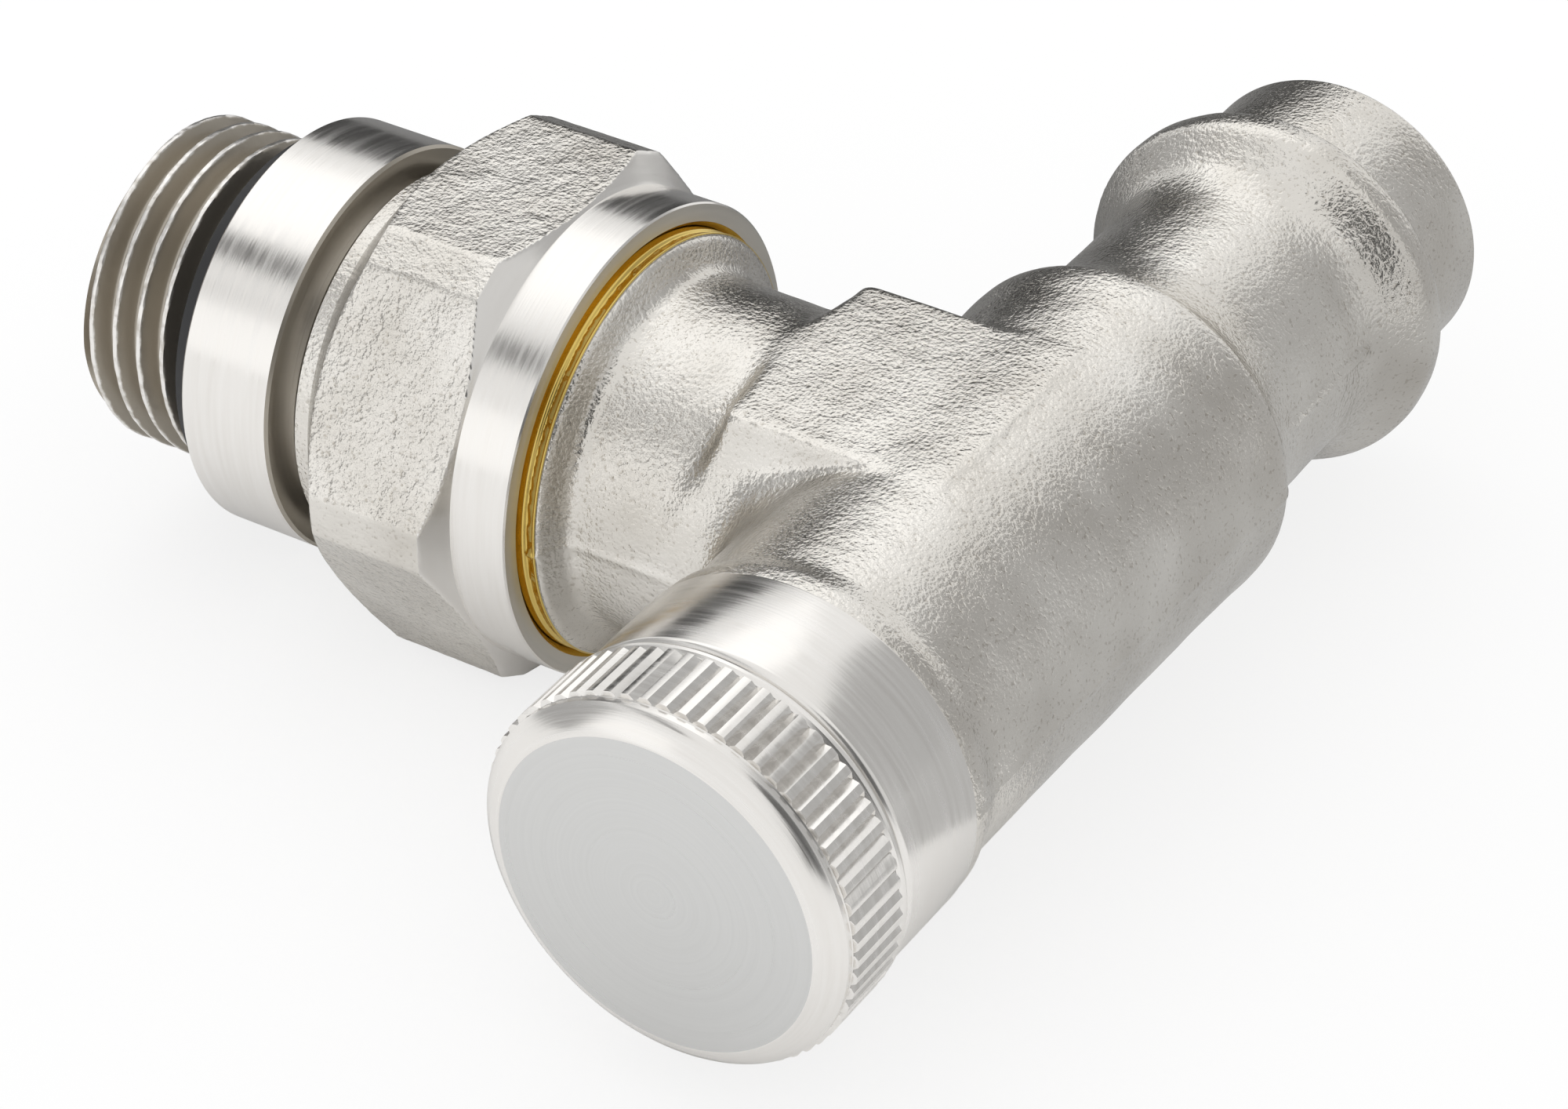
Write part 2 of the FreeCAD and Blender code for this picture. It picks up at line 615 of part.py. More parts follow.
def spindle_rings():
    for label, place in (("spindle_seal_upper", "upper_ring"), ("spindle_seal_lower", "lower_ring")):
        round_ring(label, "Y", place, "stem_groove_radius + ring_slack", "small_ring")


def spindle_stop_ring():
    middle = "stop_groove + ring_slack + stop_ring_thickness / 2"
    return ring("spindle_stop_ring", "Y", middle, "stop_ring_thickness", "stop_ring_inner", "stop_ring_outer")


def closing_cone():
    """The disc holder: hub with the journal's bore above, recess for the soft ring below."""
    body = new_body("closing_cone")
    journal = "journal_radius + thread_clearance"
    clip = "journal_radius + clip_thickness + ring_slack"
    clip_low = "clip_place - clip_thickness / 2 - ring_slack"
    clip_high = "clip_place + clip_thickness / 2 + ring_slack"
    recess = "cone_radius - cone_rim_wall"
    screw_end = "journal_end + 2 * part_gap"
    revolve(body, "Turned", "Y", [
        ("hub_top", journal),
        ("hub_top", "cone_hub_radius"),
        ("cone_disc_top", "cone_hub_radius"),
        ("cone_disc_top", "cone_radius - edge"),
        ("cone_disc_top + edge", "cone_radius"),
        ("cone_rim", "cone_radius"),
        ("cone_rim", recess),
        ("cone_seal_back", recess),
        ("cone_seal_back", "cone_screw_radius"),
        (screw_end, "cone_screw_radius"),
        (screw_end, "0"),
        ("journal_end + part_gap", "0"),
        ("journal_end + part_gap", journal),
        (clip_high, journal),
        (clip_high, clip),
        (clip_low, clip),
        (clip_low, journal),
    ])
    return body


def cone_clip():
    return ring("cone_clip", "Y", "clip_place", "clip_thickness",
                "journal_radius - clip_thickness + ring_slack", "journal_radius + clip_thickness")


def cone_seal():
    middle = "cone_seal_back + cone_seal_thickness / 2"
    outer = "cone_radius - cone_rim_wall - ring_slack"
    return ring("cone_seal", "Y", middle, "cone_seal_thickness", "cone_screw_radius + ring_slack", outer)


def cone_washer():
    middle = "cone_seal_face + cone_washer_thickness / 2"
    return ring("cone_washer", "Y", middle, "cone_washer_thickness",
                "cone_screw_radius + ring_slack", "cone_washer_radius")


def cone_screw():
    """A slotted screw that holds the washer and the soft ring under the cone."""
    body = new_body("cone_screw")
    under = "cone_seal_face + cone_washer_thickness"
    end = f"{under} + cone_screw_head_height"
    shank = "cone_screw_radius - ring_slack"
    tip = "journal_end + 3 * part_gap"
    revolve(body, "Turned", "Y", [
        (tip, "0"),
        (tip, shank),
        (under, shank),
        (under, "cone_screw_head_radius"),
        (end, "cone_screw_head_radius"),
        (end, "0"),
    ])
    doc.recompute()
    before = body.Shape.Volume
    sketch = new_sketch(body, "SlotOutline", "XZ_Plane", f"-({end})")
    outline(sketch, [
        ("-cone_screw_head_radius - edge", "-cone_screw_slot / 2"),
        ("cone_screw_head_radius + edge", "-cone_screw_slot / 2"),
        ("cone_screw_head_radius + edge", "cone_screw_slot / 2"),
        ("-cone_screw_head_radius - edge", "cone_screw_slot / 2"),
    ], swap=False)
    slot = body.newObject("PartDesign::Pocket", "Slot")
    slot.Profile = sketch
    slot.Type = "Length"
    slot.setExpression("Length", bound("cone_screw_slot"))
    slot.Reversed = True
    cut_volume(body, slot, before)
    return body


def union_nut():
    """The union nut: hexagon with cut-back corners, turned cone and collar, hub at its back."""
    body = new_body("union_nut")
    inside = "union_thread_radius + thread_clearance"
    hole = "tail_shank_radius + thread_clearance"
    revolve(body, "Turned", "X", [
        ("nut_back", hole),
        ("nut_back", "nut_hub_radius"),
        ("nut_slope_end", "nut_hub_radius"),
        ("nut_hex_back", "nut_corner_radius"),
        ("nut_hex_front", "nut_corner_radius"),
        ("nut_collar_back", "nut_collar_radius"),
        ("nut_front - nut_mouth_chamfer", "nut_collar_radius"),
        ("nut_front", "nut_collar_radius - nut_mouth_chamfer"),
        ("nut_front", f"{inside} + nut_mouth_chamfer"),
        ("nut_front - nut_mouth_chamfer", inside),
        ("nut_wall_face", inside),
        ("nut_wall_face", hole),
    ])
    doc.recompute()
    before = body.Shape.Volume
    sketch = new_sketch(body, "HexagonOutline", "YZ_Plane", "nut_back")
    hexagon(sketch, "nut_across_flats", True)
    circle = Part.Circle(FreeCAD.Vector(), FreeCAD.Vector(0, 0, 1), value_of("nut_across_flats"))
    edge = sketch.addGeometry(circle)
    sketch.addConstraint(Sketcher.Constraint("Coincident", edge, 3, -1, 1))
    size = sketch.addConstraint(Sketcher.Constraint("Radius", edge, value_of("nut_across_flats")))
    sketch.setExpression(f"Constraints[{size}]", bound("nut_across_flats"))
    hexagon_cut = body.newObject("PartDesign::Pocket", "Hexagon")
    hexagon_cut.Profile = sketch
    hexagon_cut.Type = "Length"
    hexagon_cut.setExpression("Length", bound("nut_front - nut_back"))
    hexagon_cut.Reversed = True
    cut_volume(body, hexagon_cut, before)
    return body


def tailpiece():
    """The union tail: radiator thread, relief for its ring, collar, shank and nose, bored through."""
    body = new_body("tailpiece")
    groove = "tail_shank_radius - retaining_ring_depth"
    nose = "union_bore_radius - thread_clearance"
    ring_floor = "union_bore_radius - small_ring - 2 * ring_slack"
    room = "(small_ring + ring_room) / 2"
    cone_start = f"{nose} + tail_cone_end - tail_seat"
    revolve(body, "Turned", "X", [
        ("tail_end", "tail_bore_radius"),
        ("tail_end", "radiator_thread_radius - radiator_thread_chamfer"),
        ("tail_end + radiator_thread_chamfer", "radiator_thread_radius"),
        ("thread_front", "radiator_thread_radius"),
        ("thread_front", "relief_radius"),
        ("collar_back", "relief_radius"),
        ("collar_back", "tail_collar_radius - tail_collar_edge"),
        ("collar_back + tail_collar_edge", "tail_collar_radius"),
        ("collar_front - tail_collar_edge", "tail_collar_radius"),
        ("collar_front", "tail_collar_radius - tail_collar_edge"),
        ("collar_front", "tail_shank_radius"),
        ("ring_back - ring_slack", "tail_shank_radius"),
        ("ring_back - ring_slack", groove),
        ("ring_front + ring_slack", groove),
        ("ring_front + ring_slack", "tail_shank_radius"),
        ("tail_seat", "tail_shank_radius"),
        ("tail_seat", cone_start),
        ("tail_cone_end", nose),
        (f"nose_ring - {room}", nose),
        (f"nose_ring - {room}", ring_floor),
        (f"nose_ring + {room}", ring_floor),
        (f"nose_ring + {room}", nose),
        ("tail_nose_end", nose),
        ("tail_nose_end", "tail_bore_radius"),
    ])
    doc.recompute()
    before = body.Shape.Volume
    key = drill_hexagon(body, "KeySocket", "X", "tail_key", "tail_end", "tail_key_depth", True)
    cut_volume(body, key, before)
    return body


def tail_rings():
    """The black ring at the thread, the ring on the nose and the ring that the nut pulls on."""
    middle = "collar_back - radiator_seal_width / 2"
    ring("radiator_seal", "X", middle, "radiator_seal_width",
         "relief_radius + ring_slack", "radiator_seal_radius")
    floor = "union_bore_radius - small_ring - ring_slack"
    round_ring("tail_seal", "X", "nose_ring", floor, "small_ring")
    ring("nut_retaining_ring", "X", "ring_back + retaining_ring_width / 2", "retaining_ring_width",
         "tail_shank_radius - retaining_ring_depth + ring_slack", "retaining_ring_radius")


def press_seal():
    """The ring in the bead: it rests in its groove and leaves the pipe's way free."""
    inner = "pipe_radius + pipe_clearance + thread_clearance"
    outer = "bead_radius - bead_wall - ring_slack"
    return ring("press_seal", "Y", "bead_reach", "press_ring_width", inner, outer)


def check_and_write():
    """Stops at anything that failed, then writes one file for each sub-part."""
    doc.recompute()
    for item in doc.Objects:
        if "Invalid" in item.State or "Error" in item.State:
            raise RuntimeError(f"{item.Label} failed: {item.State}")
    for part in SUBPARTS:
        if part.Shape.isNull() or not part.Shape.isValid() or len(part.Shape.Solids) != 1:
            raise RuntimeError(f"{part.Label} is not one valid solid")
    os.makedirs("parts", exist_ok=True)
    for part in SUBPARTS:
        part.Shape.exportStep(f"parts/{part.Label}.step")
        print(f"{part.Label}: {part.Shape.Volume:.1f} mm3")


valve_body()
press_seal()
bonnet()
bonnet_seal()
spindle()
spindle_rings()
spindle_stop_ring()
closing_cone()
cone_clip()
cone_seal()
cone_washer()
cone_screw()
blanking_cap()
cap_seal()
union_nut()
tailpiece()
tail_rings()
check_and_write()
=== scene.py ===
# %% [markdown]
# # An angle shut-off valve for a radiator
#
# The real object is a nickel-plated brass forging. A knurled cap hides its spindle, a union nut joins it to the
# radiator, and a press end takes the pipe. The solid model gives every place and every clearance. This file
# dresses it: it rebuilds the pieces that show as a forging, as turned metal or as a thread, gives every other
# piece a finish, and sets up a small light studio. Lengths are written in millimetres and turned into metres once.

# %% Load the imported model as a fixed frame
import bmesh
import bpy
import json
import math
import numpy as np
from mathutils import Matrix, Vector

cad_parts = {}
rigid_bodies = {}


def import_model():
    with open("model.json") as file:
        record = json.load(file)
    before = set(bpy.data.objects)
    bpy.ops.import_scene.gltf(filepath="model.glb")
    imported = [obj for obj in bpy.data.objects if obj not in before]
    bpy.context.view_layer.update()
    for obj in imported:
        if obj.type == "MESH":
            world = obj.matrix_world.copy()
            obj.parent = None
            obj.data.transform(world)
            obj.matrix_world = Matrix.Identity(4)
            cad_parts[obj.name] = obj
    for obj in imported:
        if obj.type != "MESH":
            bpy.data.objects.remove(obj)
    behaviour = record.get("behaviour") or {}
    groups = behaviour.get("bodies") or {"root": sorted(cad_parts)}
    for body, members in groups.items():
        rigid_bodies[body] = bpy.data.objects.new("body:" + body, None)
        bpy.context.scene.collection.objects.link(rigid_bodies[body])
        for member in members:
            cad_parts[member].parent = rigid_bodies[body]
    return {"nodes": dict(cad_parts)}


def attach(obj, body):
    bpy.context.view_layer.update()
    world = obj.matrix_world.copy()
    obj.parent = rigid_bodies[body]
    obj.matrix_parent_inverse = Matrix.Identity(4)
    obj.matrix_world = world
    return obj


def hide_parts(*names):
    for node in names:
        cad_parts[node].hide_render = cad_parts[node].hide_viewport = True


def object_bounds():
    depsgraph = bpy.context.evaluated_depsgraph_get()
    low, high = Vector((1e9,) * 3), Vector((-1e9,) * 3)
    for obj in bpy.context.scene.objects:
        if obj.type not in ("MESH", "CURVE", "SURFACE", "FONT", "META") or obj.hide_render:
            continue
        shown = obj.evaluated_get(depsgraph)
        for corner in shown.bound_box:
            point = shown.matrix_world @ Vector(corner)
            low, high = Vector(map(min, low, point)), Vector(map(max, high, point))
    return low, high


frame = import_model()
cad_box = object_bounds()
MM = 0.001
print("nodes:", len(frame["nodes"]), "box in mm:", [[round(c / MM, 1) for c in corner] for corner in cad_box])

# %% [markdown]
# ## The camera
#
# The photograph was taken with a long lens from the front right, 36 degrees above the table. A long lens keeps
# parallel edges nearly parallel, so a guess by eye would never fit. The place and the turn of this camera were
# worked out from circles on the real part, such as the cap's rim and the nut's end.

# %% Camera
camera_data = bpy.data.cameras.new("Camera")
camera_data.sensor_width = 36.0
camera_data.lens = 114.656
camera_data.shift_x = -0.0075
camera_data.shift_y = -0.0110
camera_data.clip_start = 0.01
camera_data.clip_end = 20.0
camera = bpy.data.objects.new("Camera", camera_data)
bpy.context.scene.collection.objects.link(camera)
forward = Vector((-0.44373, 0.67213, -0.59275)).normalized()
right = Vector((0.84179, 0.53949, -0.01841)).normalized()
up = right.cross(forward).normalized()
camera.matrix_world = Matrix((
    (right.x, up.x, -forward.x, 118.00 * MM),
    (right.y, up.y, -forward.y, -198.81 * MM),
    (right.z, up.z, -forward.z, 172.14 * MM),
    (0, 0, 0, 1),
))
bpy.context.scene.camera = camera
print("camera:", round(camera.location.length / MM), "mm from the crossing of the two axes")

# %% [markdown]
# ## The studio
#
# Metal shows what stands around it, so the studio matters as much as the metal. A light tent is a white room: a
# white world and a white table stand for it. Two lamps add the brighter panels above and in front on the left.
# Eight cards in greys and black give the darker bands that run along the barrel and the turned collars. A
# photographer keeps such cards out of the picture, so the camera doesn't see them and they cast no shadow. To the
# camera alone the table is whiter than its light makes it, so the background is white with no more light on the
# metal.

# %% World and panels
scene = bpy.context.scene
scene.view_settings.view_transform = "Standard"
world = bpy.data.worlds.new("White room")
world.use_nodes = True
world.node_tree.nodes["Background"].inputs["Color"].default_value = (1.0, 1.0, 1.0, 1.0)
world.node_tree.nodes["Background"].inputs["Strength"].default_value = 1.0
scene.world = world
TABLE_HEIGHT = cad_box[0].z


def new_material(name):
    """A material with its Principled BSDF and nothing else."""
    material = bpy.data.materials.new(name)
    material.use_nodes = True
    return material, material.node_tree, material.node_tree.nodes["Principled BSDF"]


def flat_panel(name, size, centre, look_at, material):
    """A rectangle that faces a point. It is part of the studio."""
    mesh = bpy.data.meshes.new(name)
    w, h = size[0] / 2, size[1] / 2
    mesh.from_pydata([(-w, -h, 0), (w, -h, 0), (w, h, 0), (-w, h, 0)], [], [(0, 1, 2, 3)])
    panel = bpy.data.objects.new(name, mesh)
    scene.collection.objects.link(panel)
    panel.location = centre
    panel.rotation_euler = (Vector(look_at) - Vector(centre)).to_track_quat("Z", "Y").to_euler()
    mesh.materials.append(material)
    return panel


print("world:", world.name, "and table height in mm:", round(TABLE_HEIGHT / MM, 2))

# %% Table
TABLE_SIZE = 8.0
WHITE_TO_CAMERA = 0.75

table_white, tree, shader = new_material("Table white")
shader.inputs["Base Color"].default_value = (0.98, 0.98, 0.98, 1)
shader.inputs["Roughness"].default_value = 1.0
shader.inputs["Specular IOR Level"].default_value = 0.0
glow = tree.nodes.new("ShaderNodeEmission")
path = tree.nodes.new("ShaderNodeLightPath")
share = tree.nodes.new("ShaderNodeMath")
share.operation = "MULTIPLY"
share.inputs[1].default_value = WHITE_TO_CAMERA
blend = tree.nodes.new("ShaderNodeMixShader")
tree.links.new(path.outputs["Is Camera Ray"], share.inputs[0])
tree.links.new(share.outputs["Value"], blend.inputs["Fac"])
tree.links.new(shader.outputs["BSDF"], blend.inputs[1])
tree.links.new(glow.outputs["Emission"], blend.inputs[2])
tree.links.new(blend.outputs["Shader"], tree.nodes["Material Output"].inputs["Surface"])
flat_panel("Table", (TABLE_SIZE, TABLE_SIZE), (0, 0, TABLE_HEIGHT), (0, 0, 1), table_white)
print("table:", TABLE_SIZE, "m wide,", WHITE_TO_CAMERA, "of plain white to the camera")

# %% Lamps and cards


def toward(azimuth, height):
    """A direction, in degrees. Azimuth 0 is +Y and turns towards +X. Height is above the horizon."""
    a, h = math.radians(azimuth), math.radians(height)
    return Vector((math.sin(a) * math.cos(h), math.cos(a) * math.cos(h), math.sin(h)))


def soft_lamp(name, azimuth, height, distance, size, glow):
    """A rectangular lamp that faces the part. glow is how bright its face looks, with 1 for the white room."""
    data = bpy.data.lights.new(name, "AREA")
    data.shape = "RECTANGLE"
    data.size, data.size_y = size
    data.energy = glow * math.pi * size[0] * size[1]
    lamp = bpy.data.objects.new(name, data)
    scene.collection.objects.link(lamp)
    lamp.location = toward(azimuth, height) * distance
    lamp.rotation_euler = (-lamp.location).to_track_quat("-Z", "Y").to_euler()
    return lamp


def card(name, centre, size, grey):
    """A card that faces the part, or lies flat, and that only reflections see. White would be a grey of 1."""
    paint, tree, shader = new_material(name)
    shader.inputs["Base Color"].default_value = (0, 0, 0, 1)
    shader.inputs["Specular IOR Level"].default_value = 0.0
    shader.inputs["Emission Color"].default_value = (grey, grey, grey, 1)
    shader.inputs["Emission Strength"].default_value = 1.0
    lying = centre.z < TABLE_HEIGHT + 2 * MM
    panel = flat_panel(name, size, centre, centre + Vector((0, 0, 1)) if lying else (0, 0, 0), paint)
    panel.visible_camera = False
    panel.visible_diffuse = False
    panel.visible_shadow = False
    return panel


on_table = Vector((0, 0, TABLE_HEIGHT + MM))
soft_lamp("Panel above left", -58, 54, distance=0.9, size=(1.10, 0.42), glow=0.36)
soft_lamp("Panel front left", -147, 14, distance=0.9, size=(0.42, 0.36), glow=0.22)
cards = [
    card("Black card behind", toward(-39, 10) * 0.40, (0.29, 0.25), grey=0.07),
    card("Dark card on the table", toward(-39, 0) * 0.23 + on_table, (0.30, 0.32), grey=0.24),
    card("Grey card behind right", toward(41, 18) * 0.45, (0.36, 0.52), grey=0.50),
    card("Grey card on the table", toward(38, 0) * 0.25 + on_table, (0.36, 0.40), grey=0.55),
    card("Grey card at the right", toward(90, 12) * 0.40, (0.34, 0.50), grey=0.75),
    card("Dark card at the right", toward(132, 16) * 0.40, (0.24, 0.50), grey=0.12),
    card("Grey card at the left", toward(-103, 5) * 0.38, (0.42, 0.42), grey=0.44),
    card("Dark card in front", toward(158, -4) * 0.40, (0.13, 0.15), grey=0.06),
    card("Dark strip in front", toward(-132, 46) * 0.60, (0.50, 0.08), grey=0.22),
]
print("lamps:", len(bpy.data.lights), "cards:", len(cards))

# %% [markdown]
# ## Helpers for meshes
#
# Turned pieces are lathe shapes. A lathe shape is a profile swept round an axis, so one helper makes them all: it
# takes (along, radius) points in millimetres and returns a closed mesh. The barrel's axis is Y and the branch's
# axis is X. Corners of the profile are cut or rounded before the sweep, because real edges always catch light.

# %% Profiles


def rounded(profile, radius, steps=3):
    """The profile with each corner replaced by a small arc, as a deburred edge has."""
    points = [np.array(p, float) for p in profile]
    out = []
    count = len(points)
    for i, here in enumerate(points):
        before, after = points[i - 1] - here, points[(i + 1) % count] - here
        a, b = np.linalg.norm(before), np.linalg.norm(after)
        size = min(radius, a * 0.45, b * 0.45)
        straight = abs(before[0] * after[1] - before[1] * after[0]) < 0.08 * a * b
        if size < 0.01 or straight or here[1] < 1e-6:
            out.append(tuple(here))
            continue
        start, end = here + before / a * size, here + after / b * size
        for step in range(steps + 1):
            t = step / steps
            out.append(tuple((1 - t) ** 2 * start + 2 * t * (1 - t) * here + t ** 2 * end))
    return out


def finely(profile, step):
    """The profile with points added, so that no two are further apart than the step."""
    out = []
    for here, there in zip(profile, profile[1:]):
        count = max(1, math.ceil(math.dist(here, there) / step))
        out += [tuple(np.array(here) + (np.array(there) - np.array(here)) * k / count) for k in range(count)]
    return out + [profile[-1]]


print("profile helpers ready")

# %% Lathe


def lathe(name, axis, profile, segments=192):
    """Sweeps a closed profile of (along, radius) points round X or Y."""
    ring = np.linspace(0, 2 * math.pi, segments, endpoint=False)
    points, faces, rows = [], [], []
    for along, radius in profile:
        if radius < 1e-6:
            rows.append([len(points)])
            points.append((0.0, 0.0, along))
            continue
        rows.append(list(range(len(points), len(points) + segments)))
        points += [(radius * math.cos(a), radius * math.sin(a), along) for a in ring]
    for low, high in zip(rows, rows[1:] + rows[:1]):
        for k in range(segments):
            n = (k + 1) % segments
            if len(low) == 1 and len(high) == 1:
                break
            if len(low) == 1:
                faces.append((low[0], high[n], high[k]))
            elif len(high) == 1:
                faces.append((low[k], low[n], high[0]))
            else:
                faces.append((low[k], low[n], high[n], high[k]))
    turned = [(z, x, y) if axis == "X" else (x, z, -y) for x, y, z in points]
    mesh = bpy.data.meshes.new(name)
    mesh.from_pydata([tuple(c * MM for c in p) for p in turned], [], faces)
    return face_outwards(mesh)


def face_outwards(mesh):
    """Merges doubles, then turns every face outwards."""
    work = bmesh.new()
    work.from_mesh(mesh)
    bmesh.ops.remove_doubles(work, verts=work.verts, dist=1e-7)
    bmesh.ops.recalc_face_normals(work, faces=work.faces)
    work.to_mesh(mesh)
    work.free()
    mesh.update()
    return mesh


print("lathe ready")

# %% Placing, freezing and joining


def place(name, mesh):
    """An object at the origin with this mesh."""
    piece = bpy.data.objects.new(name, mesh)
    scene.collection.objects.link(piece)
    return piece


def frozen(piece):
    """The piece's modifiers made real, as one plain mesh."""
    graph = bpy.context.evaluated_depsgraph_get()
    mesh = bpy.data.meshes.new_from_object(piece.evaluated_get(graph))
    piece.modifiers.clear()
    piece.data = mesh
    return piece


def combine(piece, others, operation):
    """Joins or cuts solids with the exact solver, then removes the tools."""
    for other in others:
        step = piece.modifiers.new(operation, "BOOLEAN")
        step.operation = operation
        step.solver = "EXACT"
        step.object = other
    frozen(piece)
    for other in others:
        bpy.data.objects.remove(other)
    return piece


print("placing and boolean helpers ready")

# %% [markdown]
# ## Forged shapes as a field
#
# A forging has no sharp inner corners: its arms flow into each other. Mesh edges can be bevelled, but soft
# crossings of round arms are hard to bevel well. A distance field does it in one step: every arm is a formula that
# is negative inside, and a smooth minimum joins two arms with a round of any size. Geometry Nodes fills a fine grid
# with the field and draws the skin where it is zero. The small class below lets a formula be written as one.

# %% Field formulas in Geometry Nodes


class Field:
    """A number at each point of space, kept as a socket of a Geometry Nodes tree."""

    def __init__(self, tree, socket):
        self.tree, self.socket = tree, socket

    def math(self, operation, *others):
        node = self.tree.nodes.new("ShaderNodeMath")
        node.operation = operation
        for slot, value in enumerate((self, *others)):
            if isinstance(value, Field):
                self.tree.links.new(value.socket, node.inputs[slot])
            else:
                node.inputs[slot].default_value = value
        return Field(self.tree, node.outputs[0])

    def __add__(self, other):
        return self.math("ADD", other)

    def __sub__(self, other):
        return self.math("SUBTRACT", other)

    def __mul__(self, other):
        return self.math("MULTIPLY", other)

    def __neg__(self):
        return self * -1.0

    def size(self):
        return self.math("ABSOLUTE")

    def join(self, other, blend):
        """Smooth minimum: both solids, with a round of about this size between them."""
        return self.math("SMOOTH_MIN", other, blend)

    def within(self, other, blend):
        """Smooth maximum: what both solids share, with its edges rounded."""
        return self.math("SMOOTH_MAX", other, blend)

    def ramp(self, start, end, low, high, smooth=True):
        """Goes from low to high while this field goes from start to end, and stays there."""
        node = self.tree.nodes.new("ShaderNodeMapRange")
        node.interpolation_type = "SMOOTHSTEP" if smooth else "LINEAR"
        self.tree.links.new(self.socket, node.inputs[0])
        for slot, value in enumerate((start, end, low, high), 1):
            node.inputs[slot].default_value = value
        return Field(self.tree, node.outputs[0])

    def profile(self, points, top=20.0):
        """A radius that follows a smooth curve through (place, radius) points."""
        first, last = points[0][0], points[-1][0]
        share = self.ramp(first, last, 0.0, 1.0, smooth=False)
        node = self.tree.nodes.new("ShaderNodeFloatCurve")
        curve = node.mapping.curves[0]
        while len(curve.points) < len(points):
            curve.points.new(0.5, 0.5)
        for point, (along, radius) in zip(curve.points, points):
            point.location = ((along - first) / (last - first), radius / top)
            point.handle_type = "AUTO_CLAMPED"
        node.mapping.update()
        self.tree.links.new(share.socket, node.inputs["Value"])
        return Field(self.tree, node.outputs[0]) * top


def radius_of(a, b):
    """Distance from an axis, from the two coordinates across it."""
    return (a * a + b * b).math("SQRT")


print("field formulas ready")

# %% Trees made of fields


def field_tree(name, inputs):
    """A tree with named inputs, and the three coordinates in millimetres."""
    tree = bpy.data.node_groups.new(name, "GeometryNodeTree")
    tree.interface.new_socket("Geometry", in_out="INPUT", socket_type="NodeSocketGeometry")
    for label, value in inputs.items():
        kind = "NodeSocketMaterial" if isinstance(value, bpy.types.Material) else "NodeSocketFloat"
        socket = tree.interface.new_socket(label, in_out="INPUT", socket_type=kind)
        socket.default_value = value
    tree.interface.new_socket("Geometry", in_out="OUTPUT", socket_type="NodeSocketGeometry")
    entry = tree.nodes.new("NodeGroupInput")
    position = tree.nodes.new("GeometryNodeInputPosition")
    split = tree.nodes.new("ShaderNodeSeparateXYZ")
    tree.links.new(position.outputs[0], split.inputs[0])
    x, y, z = [Field(tree, split.outputs[i]) * (1 / MM) for i in range(3)]
    named = {label: Field(tree, entry.outputs[label]) for label in ["Geometry", *inputs]}
    return tree, x, y, z, named


def uneven(tree, x, y, z, scale, height, seed):
    """Slow bumps of a forged skin: a noise that swings by height, in millimetres."""
    join = tree.nodes.new("ShaderNodeCombineXYZ")
    for slot, value in enumerate((x + seed, y, z)):
        tree.links.new(value.socket, join.inputs[slot])
    noise = tree.nodes.new("ShaderNodeTexNoise")
    noise.inputs["Scale"].default_value = scale
    noise.inputs["Detail"].default_value = 2.0
    tree.links.new(join.outputs[0], noise.inputs["Vector"])
    return (Field(tree, noise.outputs[0]) - 0.5) * height


print("field trees ready")

# %% From a field to a mesh


def skin(tree, solid, low, high, voxel, paint):
    """Fills a box with the field and ends the tree with the mesh where it is zero."""
    cube = tree.nodes.new("GeometryNodeVolumeCube")
    tree.links.new((-solid).socket, cube.inputs["Density"])
    cube.inputs["Background"].default_value = -1.0
    cube.inputs["Min"].default_value = [c * MM for c in low]
    cube.inputs["Max"].default_value = [c * MM for c in high]
    for axis in range(3):
        cube.inputs["Resolution " + "XYZ"[axis]].default_value = int((high[axis] - low[axis]) / voxel) + 1
    surface = tree.nodes.new("GeometryNodeVolumeToMesh")
    surface.inputs["Threshold"].default_value = 0.0
    tree.links.new(cube.outputs[0], surface.inputs["Volume"])
    end_tree(tree, surface.outputs[0], paint)


def reshape(tree, named, places, axis, radius):
    """Moves each point of the mesh that comes in to the given radius round its axis."""
    across = [value for i, value in enumerate(places) if i != axis]
    share = radius.math("DIVIDE", radius_of(*across).math("MAXIMUM", 0.01))
    join = tree.nodes.new("ShaderNodeCombineXYZ")
    for i, value in enumerate(places):
        moved = value if i == axis else value * share
        tree.links.new((moved * MM).socket, join.inputs[i])
    move = tree.nodes.new("GeometryNodeSetPosition")
    tree.links.new(named["Geometry"].socket, move.inputs["Geometry"])
    tree.links.new(join.outputs[0], move.inputs["Position"])
    end_tree(tree, move.outputs[0], named["Paint"])


def end_tree(tree, geometry, paint):
    """Every tree ends with Realize Instances and Set Material."""
    realize = tree.nodes.new("GeometryNodeRealizeInstances")
    tree.links.new(geometry, realize.inputs[0])
    finish = tree.nodes.new("GeometryNodeSetMaterial")
    tree.links.new(realize.outputs[0], finish.inputs["Geometry"])
    tree.links.new(paint.socket, finish.inputs["Material"])
    out = tree.nodes.new("NodeGroupOutput")
    tree.links.new(finish.outputs[0], out.inputs[0])


def grown(name, tree, values, mesh=None):
    """An object whose mesh is what the tree makes, with the inputs set by their identifiers."""
    piece = place(name, mesh or bpy.data.meshes.new(name))
    step = piece.modifiers.new("Grow", "NODES")
    step.node_group = tree
    for item in tree.interface.items_tree:
        if item.in_out == "INPUT" and item.name in values:
            step[item.identifier] = values[item.name]
    return frozen(piece)


print("mesh trees ready")

# %% [markdown]
# ## Finishes
#
# Two surface effects make this object: the grain that blasting leaves on a forging, and the fine rings that a
# lathe tool leaves. Both are shader groups with named inputs, so each metal can use them at its own strength. The
# groups put out only heights and masks. The Principled BSDF stays in each material.

# %% Node helpers


